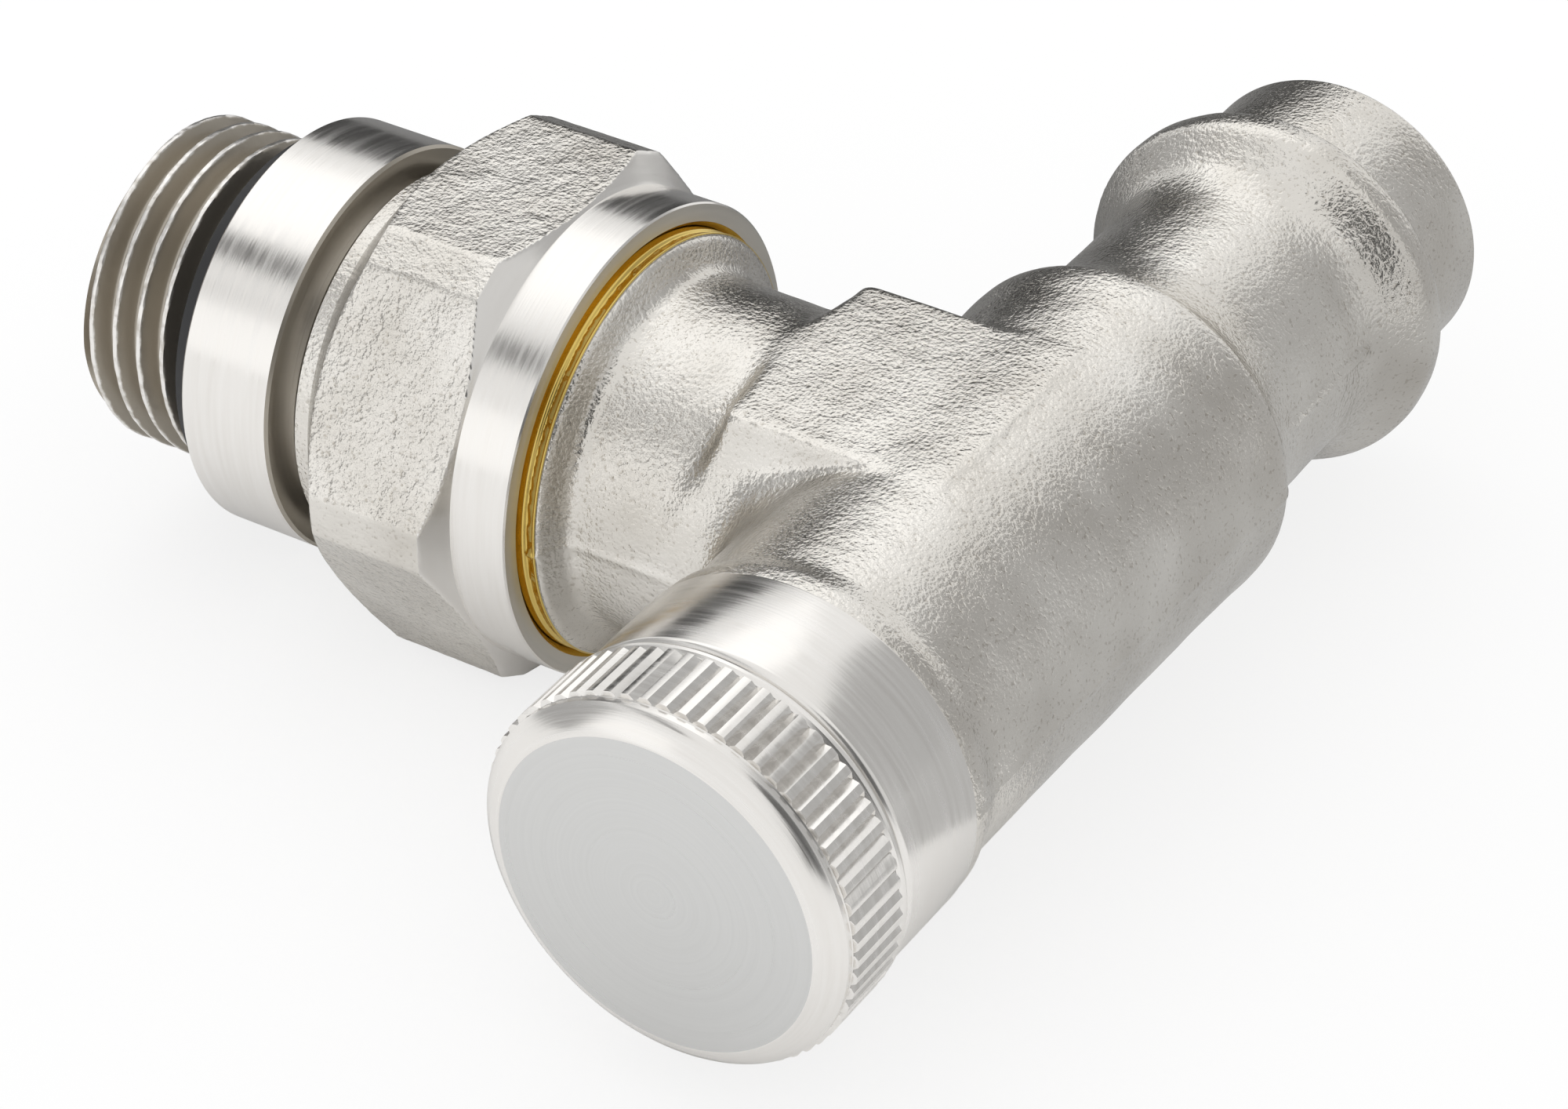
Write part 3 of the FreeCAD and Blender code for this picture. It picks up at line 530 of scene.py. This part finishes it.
def shader_group(name, inputs, outputs):
    """An empty group with named number or vector inputs and number outputs."""
    tree = bpy.data.node_groups.new(name, "ShaderNodeTree")
    for label, value in inputs.items():
        kind = "NodeSocketVector" if isinstance(value, tuple) else "NodeSocketFloat"
        socket = tree.interface.new_socket(label, in_out="INPUT", socket_type=kind)
        socket.default_value = value
    for label in outputs:
        tree.interface.new_socket(label, in_out="OUTPUT", socket_type="NodeSocketFloat")
    return tree, tree.nodes.new("NodeGroupInput"), tree.nodes.new("NodeGroupOutput")


def fill(tree, node, values):
    """Links or sets the inputs of a node, given as {input name or number: socket or value}."""
    for slot, value in values.items():
        if isinstance(value, bpy.types.NodeSocket):
            tree.links.new(value, node.inputs[slot])
        else:
            node.inputs[slot].default_value = value
    return node


def wire(tree, kind, values, **settings):
    """A new node with its settings and its inputs."""
    node = tree.nodes.new(kind)
    for label, value in settings.items():
        setattr(node, label, value)
    return fill(tree, node, values)


def number(tree, operation, a, b=0.0, c=0.0, clamp=False):
    """One step of arithmetic."""
    return wire(tree, "ShaderNodeMath", {0: a, 1: b, 2: c}, operation=operation, use_clamp=clamp).outputs[0]


def noise(tree, vector, scale, detail):
    """A noise from 0 to 1. The scale is in bumps to a metre, where the vector is in metres."""
    return wire(tree, "ShaderNodeTexNoise", {"Vector": vector, "Scale": scale, "Detail": detail}).outputs[0]


def ramp(tree, value, start, end, low, high):
    """Goes from low to high while the value goes from start to end, and stays there."""
    return wire(tree, "ShaderNodeMapRange", {0: value, 1: start, 2: end, 3: low, 4: high}).outputs[0]


def round_axis(tree, vector):
    """The three coordinates, and the distance from the first axis."""
    along, side, rise = wire(tree, "ShaderNodeSeparateXYZ", {0: vector}).outputs
    square = number(tree, "MULTIPLY", rise, rise)
    return along, side, rise, number(tree, "SQRT", number(tree, "MULTIPLY_ADD", side, side, square))


print("node helpers ready")

# %% Grain and rings


def blasted_grain():
    """Fine and coarse pits of a blasted skin. Speck marks the deepest pits."""
    tree, entry, out = shader_group("Blasted grain", {"Vector": (0, 0, 0), "Scale": 3400.0}, ["Height", "Speck"])
    vector, scale = entry.outputs["Vector"], entry.outputs["Scale"]
    fine = noise(tree, vector, scale, 2.0)
    coarse = noise(tree, vector, number(tree, "MULTIPLY", scale, 0.22), 2.0)
    height = number(tree, "MULTIPLY_ADD", coarse, 0.8, fine)
    fill(tree, out, {"Height": height, "Speck": ramp(tree, fine, 0.40, 0.30, 0.0, 1.0)})
    return tree


def turning_rings():
    """Rings round one axis. They follow the length on a collar and the radius on an end face."""
    tree, entry, out = shader_group(
        "Turning rings", {"Vector": (0, 0, 0), "Rings": 7000.0, "Drift": 90.0}, ["Height", "Streak"])
    along, side, rise, radius = round_axis(tree, entry.outputs["Vector"])
    fine = wire(tree, "ShaderNodeCombineXYZ", {
        0: number(tree, "MULTIPLY", number(tree, "ADD", along, radius), entry.outputs["Rings"]),
        1: number(tree, "MULTIPLY", side, entry.outputs["Drift"]),
        2: number(tree, "MULTIPLY", rise, entry.outputs["Drift"])}).outputs[0]
    slow = wire(tree, "ShaderNodeVectorMath", {0: fine, 1: (0.4, 1.5, 1.5)}, operation="MULTIPLY").outputs[0]
    fill(tree, out, {"Height": noise(tree, fine, 1.0, 3.0), "Streak": noise(tree, slow, 1.0, 2.0)})
    return tree


GRAIN = blasted_grain()
RINGS = turning_rings()
print("shader groups:", GRAIN.name, "and", RINGS.name)

# %% [markdown]
# ## Metals, rubber and brass
#
# Bright nickel is a warm light grey. On the forging it lies over a blasted skin, so its gloss is broad and its
# dark reflections break up into specks. On turned collars the same nickel keeps narrow reflections, drawn out into
# streaks round the axis. Each metal mixes two tints of itself, because plating is never even. In the thread the
# darker tint is painted shade in the grooves, and the tail collar's face towards the nut is painted darker as a
# painted dark reflection.

# %% Parts of a material


def object_vector(tree, axis="X"):
    """Object coordinates, with the turning axis brought to the first place."""
    coordinates = tree.nodes.new("ShaderNodeTexCoord").outputs["Object"]
    if axis == "X":
        return coordinates
    x, y, z = wire(tree, "ShaderNodeSeparateXYZ", {0: coordinates}).outputs
    return wire(tree, "ShaderNodeCombineXYZ", {0: y, 1: x, 2: z}).outputs[0]


def two_tints(tree, shader, mask, low, high):
    """Base colour that goes from the low tint to the high one as the mask goes from 0 to 1."""
    mix = wire(tree, "ShaderNodeMix", {0: mask, 6: (*low, 1), 7: (*high, 1)}, data_type="RGBA")
    tree.links.new(mix.outputs[2], shader.inputs["Base Color"])


def bump(tree, shader, height, depth):
    """Fine relief, with its depth in millimetres."""
    node = wire(tree, "ShaderNodeBump", {"Height": height, "Distance": depth * MM, "Strength": 1.0})
    tree.links.new(node.outputs[0], shader.inputs["Normal"])


def blasted_metal(name, dark, light, roughness, depth, scale):
    """Metal with a blasted skin."""
    material, tree, shader = new_material(name)
    shader.inputs["Metallic"].default_value = 1.0
    vector = object_vector(tree)
    grain = wire(tree, "ShaderNodeGroup", {"Vector": vector, "Scale": scale}, node_tree=GRAIN).outputs
    cloudy = noise(tree, vector, 160.0, 2.0)
    mask = number(tree, "SUBTRACT", cloudy, number(tree, "MULTIPLY", grain["Speck"], 0.4), clamp=True)
    two_tints(tree, shader, mask, dark, light)
    fill(tree, shader, {"Roughness": ramp(tree, cloudy, 0.3, 0.7, roughness - 0.05, roughness + 0.06)})
    bump(tree, shader, grain["Height"], depth)
    return material


def turned_metal(name, axis, dark, light, roughness, depth, rings=7000.0, drift=90.0):
    """Metal that was turned round an axis, with its rings in rings to a metre."""
    material, tree, shader = new_material(name)
    shader.inputs["Metallic"].default_value = 1.0
    values = {"Vector": object_vector(tree, axis), "Rings": rings, "Drift": drift}
    turned = wire(tree, "ShaderNodeGroup", values, node_tree=RINGS).outputs
    two_tints(tree, shader, turned["Streak"], dark, light)
    rough = ramp(tree, turned["Streak"], 0.3, 0.7, roughness - 0.06, roughness + 0.06)
    fill(tree, shader, {"Roughness": rough})
    bump(tree, shader, turned["Height"], depth)
    return material


print("material helpers ready")

# %% Nickel and brass
NICKEL_DARK, NICKEL_LIGHT = (0.74, 0.715, 0.68), (0.86, 0.845, 0.82)
cast_nickel = blasted_metal("Cast nickel", (0.50, 0.47, 0.42), (0.90, 0.88, 0.84),
                            roughness=0.20, depth=0.075, scale=3800.0)
turned_x = turned_metal("Turned nickel along X", "X", NICKEL_DARK, NICKEL_LIGHT, roughness=0.20, depth=0.004)
turned_y = turned_metal("Turned nickel along Y", "Y", NICKEL_DARK, NICKEL_LIGHT, roughness=0.22, depth=0.004)
cap_nickel = turned_metal("Cap face nickel", "Y", (0.60, 0.60, 0.59), (0.68, 0.68, 0.67),
                          roughness=0.33, depth=0.003, rings=12000.0, drift=20.0)
matte_face = turned_metal("Matte nickel face", "X", (0.60, 0.585, 0.55), (0.74, 0.72, 0.68),
                          roughness=0.52, depth=0.004)
# The darker, browner tints are a painted dark reflection on the tail collar's face towards the nut.
collar_face_painted_dark = turned_metal("Nickel face painted dark", "X", (0.36, 0.33, 0.28), (0.46, 0.425, 0.37),
                         roughness=0.34, depth=0.004)
brass_x = turned_metal("Brass along X", "X", (0.60, 0.42, 0.10), (0.86, 0.66, 0.22), roughness=0.22, depth=0.006)
brass_y = turned_metal("Brass along Y", "Y", (0.60, 0.44, 0.16), (0.80, 0.62, 0.28), roughness=0.28, depth=0.006)
print("metals so far:", len(bpy.data.materials))

# %% Thread nickel and rubber


def thread_metal():
    """Nickel in a cut thread: a brown-grey painted shade in the grooves, bright and ragged on the crests."""
    material, tree, shader = new_material("Thread nickel")
    shader.inputs["Metallic"].default_value = 1.0
    vector = object_vector(tree)
    ragged = noise(tree, vector, 1500.0, 3.0)
    raised = number(tree, "MULTIPLY_ADD", ragged, 0.30 * MM, round_axis(tree, vector)[3])
    crest = ramp(tree, raised, 10.52 * MM, 10.64 * MM, 0.0, 1.0)
    # The dark low tint below the crests is painted shade in the grooves.
    two_tints(tree, shader, crest, (0.42, 0.385, 0.33), (0.84, 0.82, 0.79))
    fill(tree, shader, {"Roughness": ramp(tree, crest, 0.0, 1.0, 0.36, 0.30)})
    bump(tree, shader, ragged, 0.02)
    return material


def rubber(name, tint):
    """Soft rubber with a fine, uneven sheen."""
    material, tree, shader = new_material(name)
    grain = noise(tree, object_vector(tree), 2500.0, 2.0)
    two_tints(tree, shader, grain, tuple(0.6 * c for c in tint), tint)
    fill(tree, shader, {"Roughness": ramp(tree, grain, 0.3, 0.7, 0.42, 0.56)})
    bump(tree, shader, grain, 0.01)
    return material


thread_nickel = thread_metal()
rubber_black = rubber("Black rubber", (0.022, 0.022, 0.024))
rubber_grey = rubber("Grey rubber", (0.16, 0.16, 0.17))
print("materials:", len(bpy.data.materials))

# %% [markdown]
# ## The forged body
#
# The body is a barrel along Y with a branch along X, a spanner block on top of the crossing and a bead at the press
# end. The barrel and the branch are curves of radius against place, so the shoulder, the neck and the bead are
# drawn as one profile. The block is bounded by planes with a draft, as it has to leave the forging die.

# %% Field of the forging
BARREL_CURVE = [
    (-21.0, 11.46), (-19.9, 11.46), (-19.2, 11.42), (-18.4, 11.15), (-17.4, 10.94), (-14.0, 10.95), (0.0, 11.16),
    (12.0, 11.42), (14.2, 11.55), (15.1, 11.42), (15.6, 10.90), (16.4, 10.35), (17.8, 9.88), (19.4, 9.56),
    (21.0, 9.46), (27.6, 9.45), (28.9, 9.58), (30.2, 9.98), (31.2, 10.66), (31.9, 11.26), (32.5, 11.72),
    (32.9, 11.87), (34.3, 11.74), (34.9, 11.36), (35.35, 10.72), (35.7, 10.12), (36.1, 9.82), (37.2, 9.72),
]
FORGING = {"Paint": cast_nickel, "Flat height": 11.11, "Block middle": -0.5, "Block half width": 7.65,
           "Block reach": 12.6, "Draft": 0.16, "Valley": 3.2, "Crease": 0.5, "Seam": 0.16}
BRANCH_CURVE = [
    (-24.0, 13.08), (-22.75, 13.08), (-22.5, 12.85), (-22.25, 12.2), (-21.98, 11.55), (-21.55, 11.15),
    (-20.6, 11.0), (-15.4, 10.9), (-12.0, 10.7), (0.0, 10.6),
]


def forged_body_tree():
    """Barrel, branch and spanner block, with the marks that the forging dies leave."""
    tree, x, y, z, named = field_tree("Forged body", FORGING)
    across = z.size()
    # The seam where the dies met stands proud on the barrel's outer side and round the branch.
    seam = across.ramp(0.0, 0.45, 1.0, 0.0) * named["Seam"]
    barrel = radius_of(x, z) - y.profile(BARREL_CURVE)
    barrel = barrel - seam * x.ramp(2.0, 6.0, 0.0, 1.0) * y.ramp(15.0, 16.5, 1.0, 0.0)
    # On the press neck it is a thin line of flash, a little above the middle.
    flash = (z - 1.5).size().ramp(0.0, 0.5, 0.5, 0.0) * x.ramp(3.0, 6.0, 0.0, 1.0)
    barrel = barrel - flash * y.ramp(18.6, 20.0, 0.0, 1.0) * y.ramp(28.0, 29.4, 1.0, 0.0)
    # Both arms are cut square inside the turned ends that take over there.
    barrel = barrel.within(y - 36.9, 0.1).within(-y - 20.6, 0.1)
    branch = radius_of(y, z) - x.profile(BRANCH_CURVE)
    branch = branch - seam * y.ramp(-6.0, -3.0, 1.0, 0.0)
    branch = branch.within(-x - 23.4, 0.1).within(x - 1.0, 0.5)
    # The block's flats fall by a hair along the barrel, and its sides and face lean by the draft.
    height = y * 0.012 + named["Flat height"]
    lean = (height - across) * named["Draft"]
    sides = (y - named["Block middle"]).size() - named["Block half width"] - lean
    face = -x - named["Block reach"] - lean
    block = sides.within(face, 1.2).within(across - height, 0.7).within(x - 1.7, 0.2)
    arm = branch.join(block, named["Valley"])
    # The flats cut the branch's round too, up to where it leaves the block.
    ceiling = across - height - x.ramp(-17.5, -13.0, 4.0, 0.0)
    arm = arm.within(ceiling, 0.5)
    # The arms meet the barrel in a broad round low down and in a crease up at the flats.
    round_size = across.ramp(6.5, 10.4, 4.5, 0.0) + named["Crease"]
    solid = arm.join(barrel, round_size) + uneven(tree, x, y, z, scale=0.28, height=0.12, seed=3.0)
    skin(tree, solid, (-24.4, -21.6, -13.0), (13.0, 37.9, 13.0), voxel=0.27, paint=named["Paint"])
    return tree


forging = grown("Forging", forged_body_tree(), FORGING)
print("forging:", len(forging.data.polygons), "faces")

# %% [markdown]
# ## Turned ends and bores of the body
#
# The head collar, the nose, the thread for the nut and every bore are cut on a lathe after forging. They are lathe
# shapes with crisp edges, joined to the forging and cut out of it with exact booleans. The seat's face, at 7.23,
# is drawn 0.03 mm further back than in the solid model, so that the closed ring's face doesn't fall into it.

# %% Turned parts of the body
HEAD_BACK, THREAD_END = -20.4, -22.7
HEAD = [(-31.6, 0), (-31.6, 9.5), (-31.1, 10.0), (-27.5, 10.0), (-27.5, 11.25), (-27.2, 11.55),
        (HEAD_BACK, 11.55), (HEAD_BACK, 0)]
THREAD = [(-34.5, 0), (-34.5, 12.72), (-34.0, 13.22), (-23.5, 13.22), (-23.36, 13.02), (-22.98, 13.05),
          (-22.86, 13.2), (-22.74, 13.22), (THREAD_END, 13.1), (THREAD_END, 0)]
SLEEVE = [(36.55, 0), (36.55, 9.60), (36.7, 9.76), (42.9, 9.76), (43.3, 9.36), (43.3, 0)]
BARREL_BORE = [
    (-32.6, 0), (-32.6, 8.5), (-20.4, 8.5), (-20.4, 7.9), (-14.0, 7.9), (-14.0, 7.7), (8.0, 7.7), (8.0, 6.0),
    (7.23, 6.0), (7.23, 5.0), (9.5, 5.0), (9.5, 6.0), (21.3, 6.0), (21.3, 7.6), (31.85, 7.6), (31.85, 10.37),
    (34.75, 10.37), (34.75, 7.6), (42.8, 7.6), (43.3, 8.1), (44.3, 8.1), (44.3, 0)]
BRANCH_BORE = [(-35.5, 0), (-35.5, 10.45), (-34.5, 10.45), (-33.0, 8.95), (-28.5, 8.95), (-28.5, 7.0),
               (-3.85, 7.0), (-3.85, 0)]

added = [place("Head", lathe("Head", "Y", rounded(HEAD, 0.15))),
         place("Thread", lathe("Thread", "X", rounded(THREAD, 0.1))),
         place("Sleeve", lathe("Sleeve", "Y", rounded(SLEEVE, 0.15)))]
combine(forging, added, "UNION")
removed = [place("Barrel bore", lathe("Barrel bore", "Y", BARREL_BORE, 128)),
           place("Branch bore", lathe("Branch bore", "X", BRANCH_BORE, 128))]
combine(forging, removed, "DIFFERENCE")
print("body:", len(forging.data.polygons), "faces after the booleans")

# %% Finish zones


def faces_of(mesh):
    """Middle, in millimetres, and normal of every face."""
    count = len(mesh.polygons)
    middle, normal = np.zeros(count * 3), np.zeros(count * 3)
    mesh.polygons.foreach_get("center", middle)
    mesh.polygons.foreach_get("normal", normal)
    return middle.reshape(-1, 3) / MM, normal.reshape(-1, 3)


def off_axis(middle, axis):
    """Distance of every face from the axis X, which is 0, or Y, which is 1."""
    a, b = [i for i in range(3) if i != axis]
    return np.hypot(middle[:, a], middle[:, b])


def looks_in(middle, normal, axis):
    """True where a face looks at the axis, as the wall of a bore does."""
    a, b = [i for i in range(3) if i != axis]
    return normal[:, a] * middle[:, a] + normal[:, b] * middle[:, b] < -0.1


def paint_zones(mesh, materials, chosen):
    """Gives each face the material whose number is chosen for it."""
    mesh.materials.clear()
    for material in materials:
        mesh.materials.append(material)
    mesh.polygons.foreach_set("material_index", chosen.astype(np.int32))
    mesh.update()


def shade(mesh, angle=32.0):
    """Smooth shading, with edges sharper than the angle kept crisp."""
    mesh.shade_smooth()
    mesh.set_sharp_from_angle(angle=math.radians(angle))


print("zone helpers ready")

# %% Finish zones of the body: 0 forged, 1 turned head, 2 branch's thread and bore, 3 barrel's bores
middle, normal = faces_of(forging.data)
x, y = middle[:, 0], middle[:, 1]
from_barrel, from_branch = off_axis(middle, 1), off_axis(middle, 0)
in_barrel = ((from_barrel < 10.4) & looks_in(middle, normal, 1)) | (from_barrel < 7.75)
in_branch = ((from_branch < 10.6) & looks_in(middle, normal, 0)) | (from_branch < 9.0)
zone = np.zeros(len(middle), int)
zone[y < HEAD_BACK - 0.05] = 1
zone[(x < THREAD_END - 0.01) & (np.abs(y) < 14)] = 2
zone[(y > HEAD_BACK - 0.05) & in_barrel & (x > -8)] = 3
zone[(x < -7) & in_branch & (np.abs(y) < 10.6) & (from_barrel > 7.6)] = 2
paint_zones(forging.data, [cast_nickel, turned_y, brass_x, brass_y], zone)
shade(forging.data)
forging.name = "body_forging"
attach(forging, "root")
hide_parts("valve_body")
print("faces in each zone:", np.bincount(zone).tolist())

# %% [markdown]
# ## The union nut
#
# The nut is forged as a hexagon with cut-back corners, then turned at both ends. Both forms are a radius at each
# angle and place: a plane is its distance over a cosine, and the turned cone is a straight profile. The smaller of
# the two radii is the surface, so where they meet, the scallops of a real nut come out by themselves. The forged
# flats are slightly uneven, which makes the edges of the scallops ragged, as burrs do. Its open end is faced off
# dull, so it doesn't mirror the brass thread in front of it.

# %% Nut
NUT_SKIN = [(-41.25, 11.7), (-40.95, 12.0), (-40.0, 12.0), (-36.4, 16.62), (-28.62, 16.62), (-27.62, 14.90)]
NUT_COLLAR = [(-27.55, 14.8), (-23.8, 14.8), (-23.7, 14.7)]
NUT_INSIDE = [(-23.7, 13.62), (-24.05, 13.27), (-37.5, 13.27), (-37.5, 10.75), (-41.25, 10.75)]
NUT_SIZES = {"Paint": cast_nickel, "Flat distance": 15.0, "Corner distance": 16.56, "Edge": 0.16, "Skin": 0.10}


def hexagon_nut_tree():
    """Cuts a turned blank down to flats and cut-back corners."""
    tree, x, y, z, named = field_tree("Hexagon nut", NUT_SIZES)
    before = radius_of(y, z)
    turn = z.math("ARCTAN2", y) * (3 / math.pi) - 0.5
    fold = (turn - turn.math("ROUND")).size() * (math.pi / 3)
    pitted = uneven(tree, x, y, z, scale=1.5, height=1.0, seed=11.0) * named["Skin"]
    rough = pitted + uneven(tree, x, y, z, scale=0.25, height=0.16, seed=5.0)
    flat = (named["Flat distance"] + rough).math("DIVIDE", fold.math("COSINE"))
    corner = (named["Corner distance"] + rough).math("DIVIDE", (-fold + math.pi / 6).math("COSINE"))
    hexagon = flat.join(corner, 0.12)
    reshape(tree, named, (x, y, z), 0, before.join(hexagon, named["Edge"]))
    return tree


outside = finely(NUT_SKIN, 0.17) + finely(NUT_COLLAR, 0.5)
nut = grown("nut_hexagon", hexagon_nut_tree(), NUT_SIZES, lathe("Nut", "X", outside + NUT_INSIDE, 600))
print("nut:", len(nut.data.polygons), "faces")

# %% Finish zones of the nut: 0 forged, 1 turned, 2 brass thread inside, 3 dull end face
middle, normal = faces_of(nut.data)
x, radius = middle[:, 0], off_axis(middle, 0)
cone = np.interp(x, [-28.62, -27.6], [16.62, 14.86])
zone = np.zeros(len(middle), int)
zone[(x > -28.7) & (radius > cone - 0.06)] = 1
zone[x > -27.62] = 1
zone[(x > -23.72) & (normal[:, 0] > 0.9)] = 3
zone[(radius < 13.65) & (x > -24.1)] = 2
zone[(radius < 13.3) & looks_in(middle, normal, 0)] = 2
paint_zones(nut.data, [cast_nickel, turned_x, brass_x, matte_face], zone)
shade(nut.data, 24.0)
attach(nut, "nut")
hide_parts("union_nut")
print("faces in each zone:", np.bincount(zone).tolist())

# %% [markdown]
# ## The knurled cap
#
# The cap is turned and then gets a straight knurl: 62 grooves pressed along its rim. A lathe shape carries ten
# points for each tooth, and one rule pushes the rim in by the depth of a groove, so all the teeth come from one
# formula. Small differences from tooth to tooth keep it from looking computed.

# %% Cap
CAP_TEETH = 62
KNURL = {"Paint": turned_y, "Teeth": float(CAP_TEETH), "Depth": 0.37, "Crest": 0.31}
CAP_RIM = [(-33.08, 11.5), (-33.0, 11.55), (-32.96, 11.85), (-28.52, 11.85), (-28.46, 11.6)]
CAP_OUTSIDE = [(-34.6, 0), (-34.6, 10.02), (-34.57, 10.12), (-33.84, 11.28), (-33.72, 11.38), (-33.6, 11.5),
               (-33.5, 11.56), (-33.14, 11.56)]
CAP_BACK = [(-28.4, 11.64), (-28.25, 11.75), (-28.05, 11.78), (-27.88, 11.7), (-27.74, 11.5), (-27.7, 11.25),
            (-27.7, 10.55), (-28.2, 10.05), (-32.6, 10.05), (-32.6, 0)]


def knurl_tree():
    """Presses one groove for each tooth into the cap's rim."""
    tree, x, y, z, named = field_tree("Straight knurl", KNURL)
    before = radius_of(x, z)
    turn = z.math("ARCTAN2", x) * named["Teeth"] * (0.5 / math.pi)
    beside = (turn - turn.math("ROUND")).size()
    groove = (named["Crest"] - beside).math("MAXIMUM", 0.0).math("DIVIDE", named["Crest"])
    within_rim = y.ramp(-33.0, -32.97, 0.0, 1.0) * y.ramp(-28.53, -28.5, 1.0, 0.0)
    worn = uneven(tree, x, y, z, scale=0.7, height=0.16, seed=2.0) + 1.0
    on_rim = before.ramp(11.3, 11.5, 0.0, 1.0)
    reshape(tree, named, (x, y, z), 1, before - groove * named["Depth"] * worn * within_rim * on_rim)
    return tree


profile = CAP_OUTSIDE + finely(CAP_RIM, 0.6) + CAP_BACK
cap = grown("cap_knurled", knurl_tree(), KNURL, lathe("Cap", "Y", profile, CAP_TEETH * 10))
print("cap:", len(cap.data.polygons), "faces")

# %% Finish zones of the cap: 0 turned, 1 front face, 2 brass inside
middle, normal = faces_of(cap.data)
y, radius = middle[:, 1], off_axis(middle, 1)
zone = np.zeros(len(middle), int)
zone[(y < -34.55) & (radius < 10.05)] = 1
zone[(y > -32.7) & (radius < 10.6)] = 2
paint_zones(cap.data, [turned_y, cap_nickel, brass_y], zone)
shade(cap.data, 20.0)
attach(cap, "cap")
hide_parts("blanking_cap")
print("faces in each zone:", np.bincount(zone).tolist())

# %% [markdown]
# ## The union tail
#
# The tail is turned from bar. Its pipe thread is cut as a helix: at each point, the place along the axis plus the
# share of a turn gives where that point lies within one pitch, and that gives its depth. The crests of a real
# thread tear a little, so their height has a fine noise. The hexagon socket for the fitting key is cut out last.

# %% Tail
PIPE_THREAD = {"Paint": thread_nickel, "Pitch": 1.814, "Depth": 1.13, "Crest": 0.08, "Tear": 0.16, "Start": -60.43}
PIPE_RADIUS, PIPE_THREAD_END = 10.4775, -51.5
FLANK_ANGLE = 27.5
KEY_CORNER = 7.5056  # half of the key's 13 mm across flats, over the cosine of 30 degrees
TAIL_SKIN = [(-59.0, 6.5), (-59.0, 9.75), (-58.85, 9.95), (-58.3, PIPE_RADIUS)]
TAIL_REST = [
    (-51.53, PIPE_RADIUS), (PIPE_THREAD_END, 10.45), (PIPE_THREAD_END, 9.4), (-48.8, 9.4), (-48.8, 12.85),
    (-48.62, 13.03), (-42.48, 13.03),
    (-42.3, 12.85), (-42.3, 10.7), (-37.47, 10.7), (-37.47, 9.9), (-36.43, 9.9), (-36.43, 10.7), (-34.8, 10.7),
    (-34.8, 10.6), (-33.1, 8.9), (-32.05, 8.9), (-32.05, 7.71), (-30.55, 7.71), (-30.55, 8.9), (-29.5, 8.9),
    (-29.5, 6.5)]


def pipe_thread_tree():
    """Cuts the helix of a right-hand thread into the tail."""
    tree, x, y, z, named = field_tree("Pipe thread", PIPE_THREAD)
    before = radius_of(y, z)
    turn = (x - named["Start"]).math("DIVIDE", named["Pitch"]) - z.math("ARCTAN2", y) * (0.5 / math.pi)
    beside = (turn - turn.math("ROUND")).size()
    slope = (beside - named["Crest"]) * named["Pitch"].math("DIVIDE", math.tan(math.radians(FLANK_ANGLE)))
    cut = slope.within(beside * 0.0, 0.10).join(named["Depth"], 0.35)
    on_crest = slope.ramp(-0.1, 0.15, 1.0, 0.0)
    torn = uneven(tree, x, y, z, scale=1.3, height=1.0, seed=7.0) * named["Tear"] * on_crest
    beyond = x.ramp(PIPE_THREAD_END, PIPE_THREAD_END + 0.1, 0.0, 20.0)
    reshape(tree, named, (x, y, z), 0, before.math("MINIMUM", torn - cut + beyond + PIPE_RADIUS))
    return tree


profile = TAIL_SKIN + finely([(-58.2, PIPE_RADIUS), (-51.55, PIPE_RADIUS)], 0.07) + TAIL_REST
tail = grown("tail_threaded", pipe_thread_tree(), PIPE_THREAD, lathe("Tail", "X", profile, 320))
key = [(-60, 0), (-60, KEY_CORNER), (-50, KEY_CORNER), (-50, 0)]
combine(tail, [place("Key socket", lathe("Key socket", "X", key, 6))], "DIFFERENCE")
print("tail:", len(tail.data.polygons), "faces")

# %% Finish zones of the tail: 0 turned, 1 thread, 2 the collar's face towards the nut, with a painted dark reflection
middle, normal = faces_of(tail.data)
x, radius = middle[:, 0], off_axis(middle, 0)
zone = np.zeros(len(middle), int)
zone[(x < -50.4) & (radius > 9.0) & (x > -58.98)] = 1
# The collar's face towards the nut is painted darker, as a painted reflection.
zone[(normal[:, 0] > 0.5) & (x > -42.5) & (x < -42.2)] = 2
paint_zones(tail.data, [turned_x, thread_nickel, collar_face_painted_dark], zone)
shade(tail.data, 28.0)
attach(tail, "tail")
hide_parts("tailpiece")
print("faces in each zone:", np.bincount(zone).tolist())

# %% [markdown]
# ## Pieces that stay as the solid model has them
#
# The rings, the bonnet, the spindle and the cone sit inside or show only as an edge. Their solids are as the real
# ones are, so they only get a finish: turned brass, turned steel or rubber.

# %% Finishes of the kept pieces
NODE_FINISH = {
    "press_seal": rubber_black, "bonnet": brass_y, "bonnet_seal": rubber_black, "spindle": brass_y,
    "spindle_seal_upper": rubber_black, "spindle_seal_lower": rubber_black, "spindle_stop_ring": turned_y,
    "closing_cone": brass_y, "cone_clip": turned_y, "cone_seal": rubber_black, "cone_washer": brass_y,
    "cone_screw": brass_y, "cap_seal": rubber_grey, "radiator_seal": rubber_black, "tail_seal": rubber_black,
    "nut_retaining_ring": turned_x,
}
for name, material in NODE_FINISH.items():
    for slot in frame["nodes"][name].material_slots:
        slot.material = material
print("finished nodes:", len(NODE_FINISH))
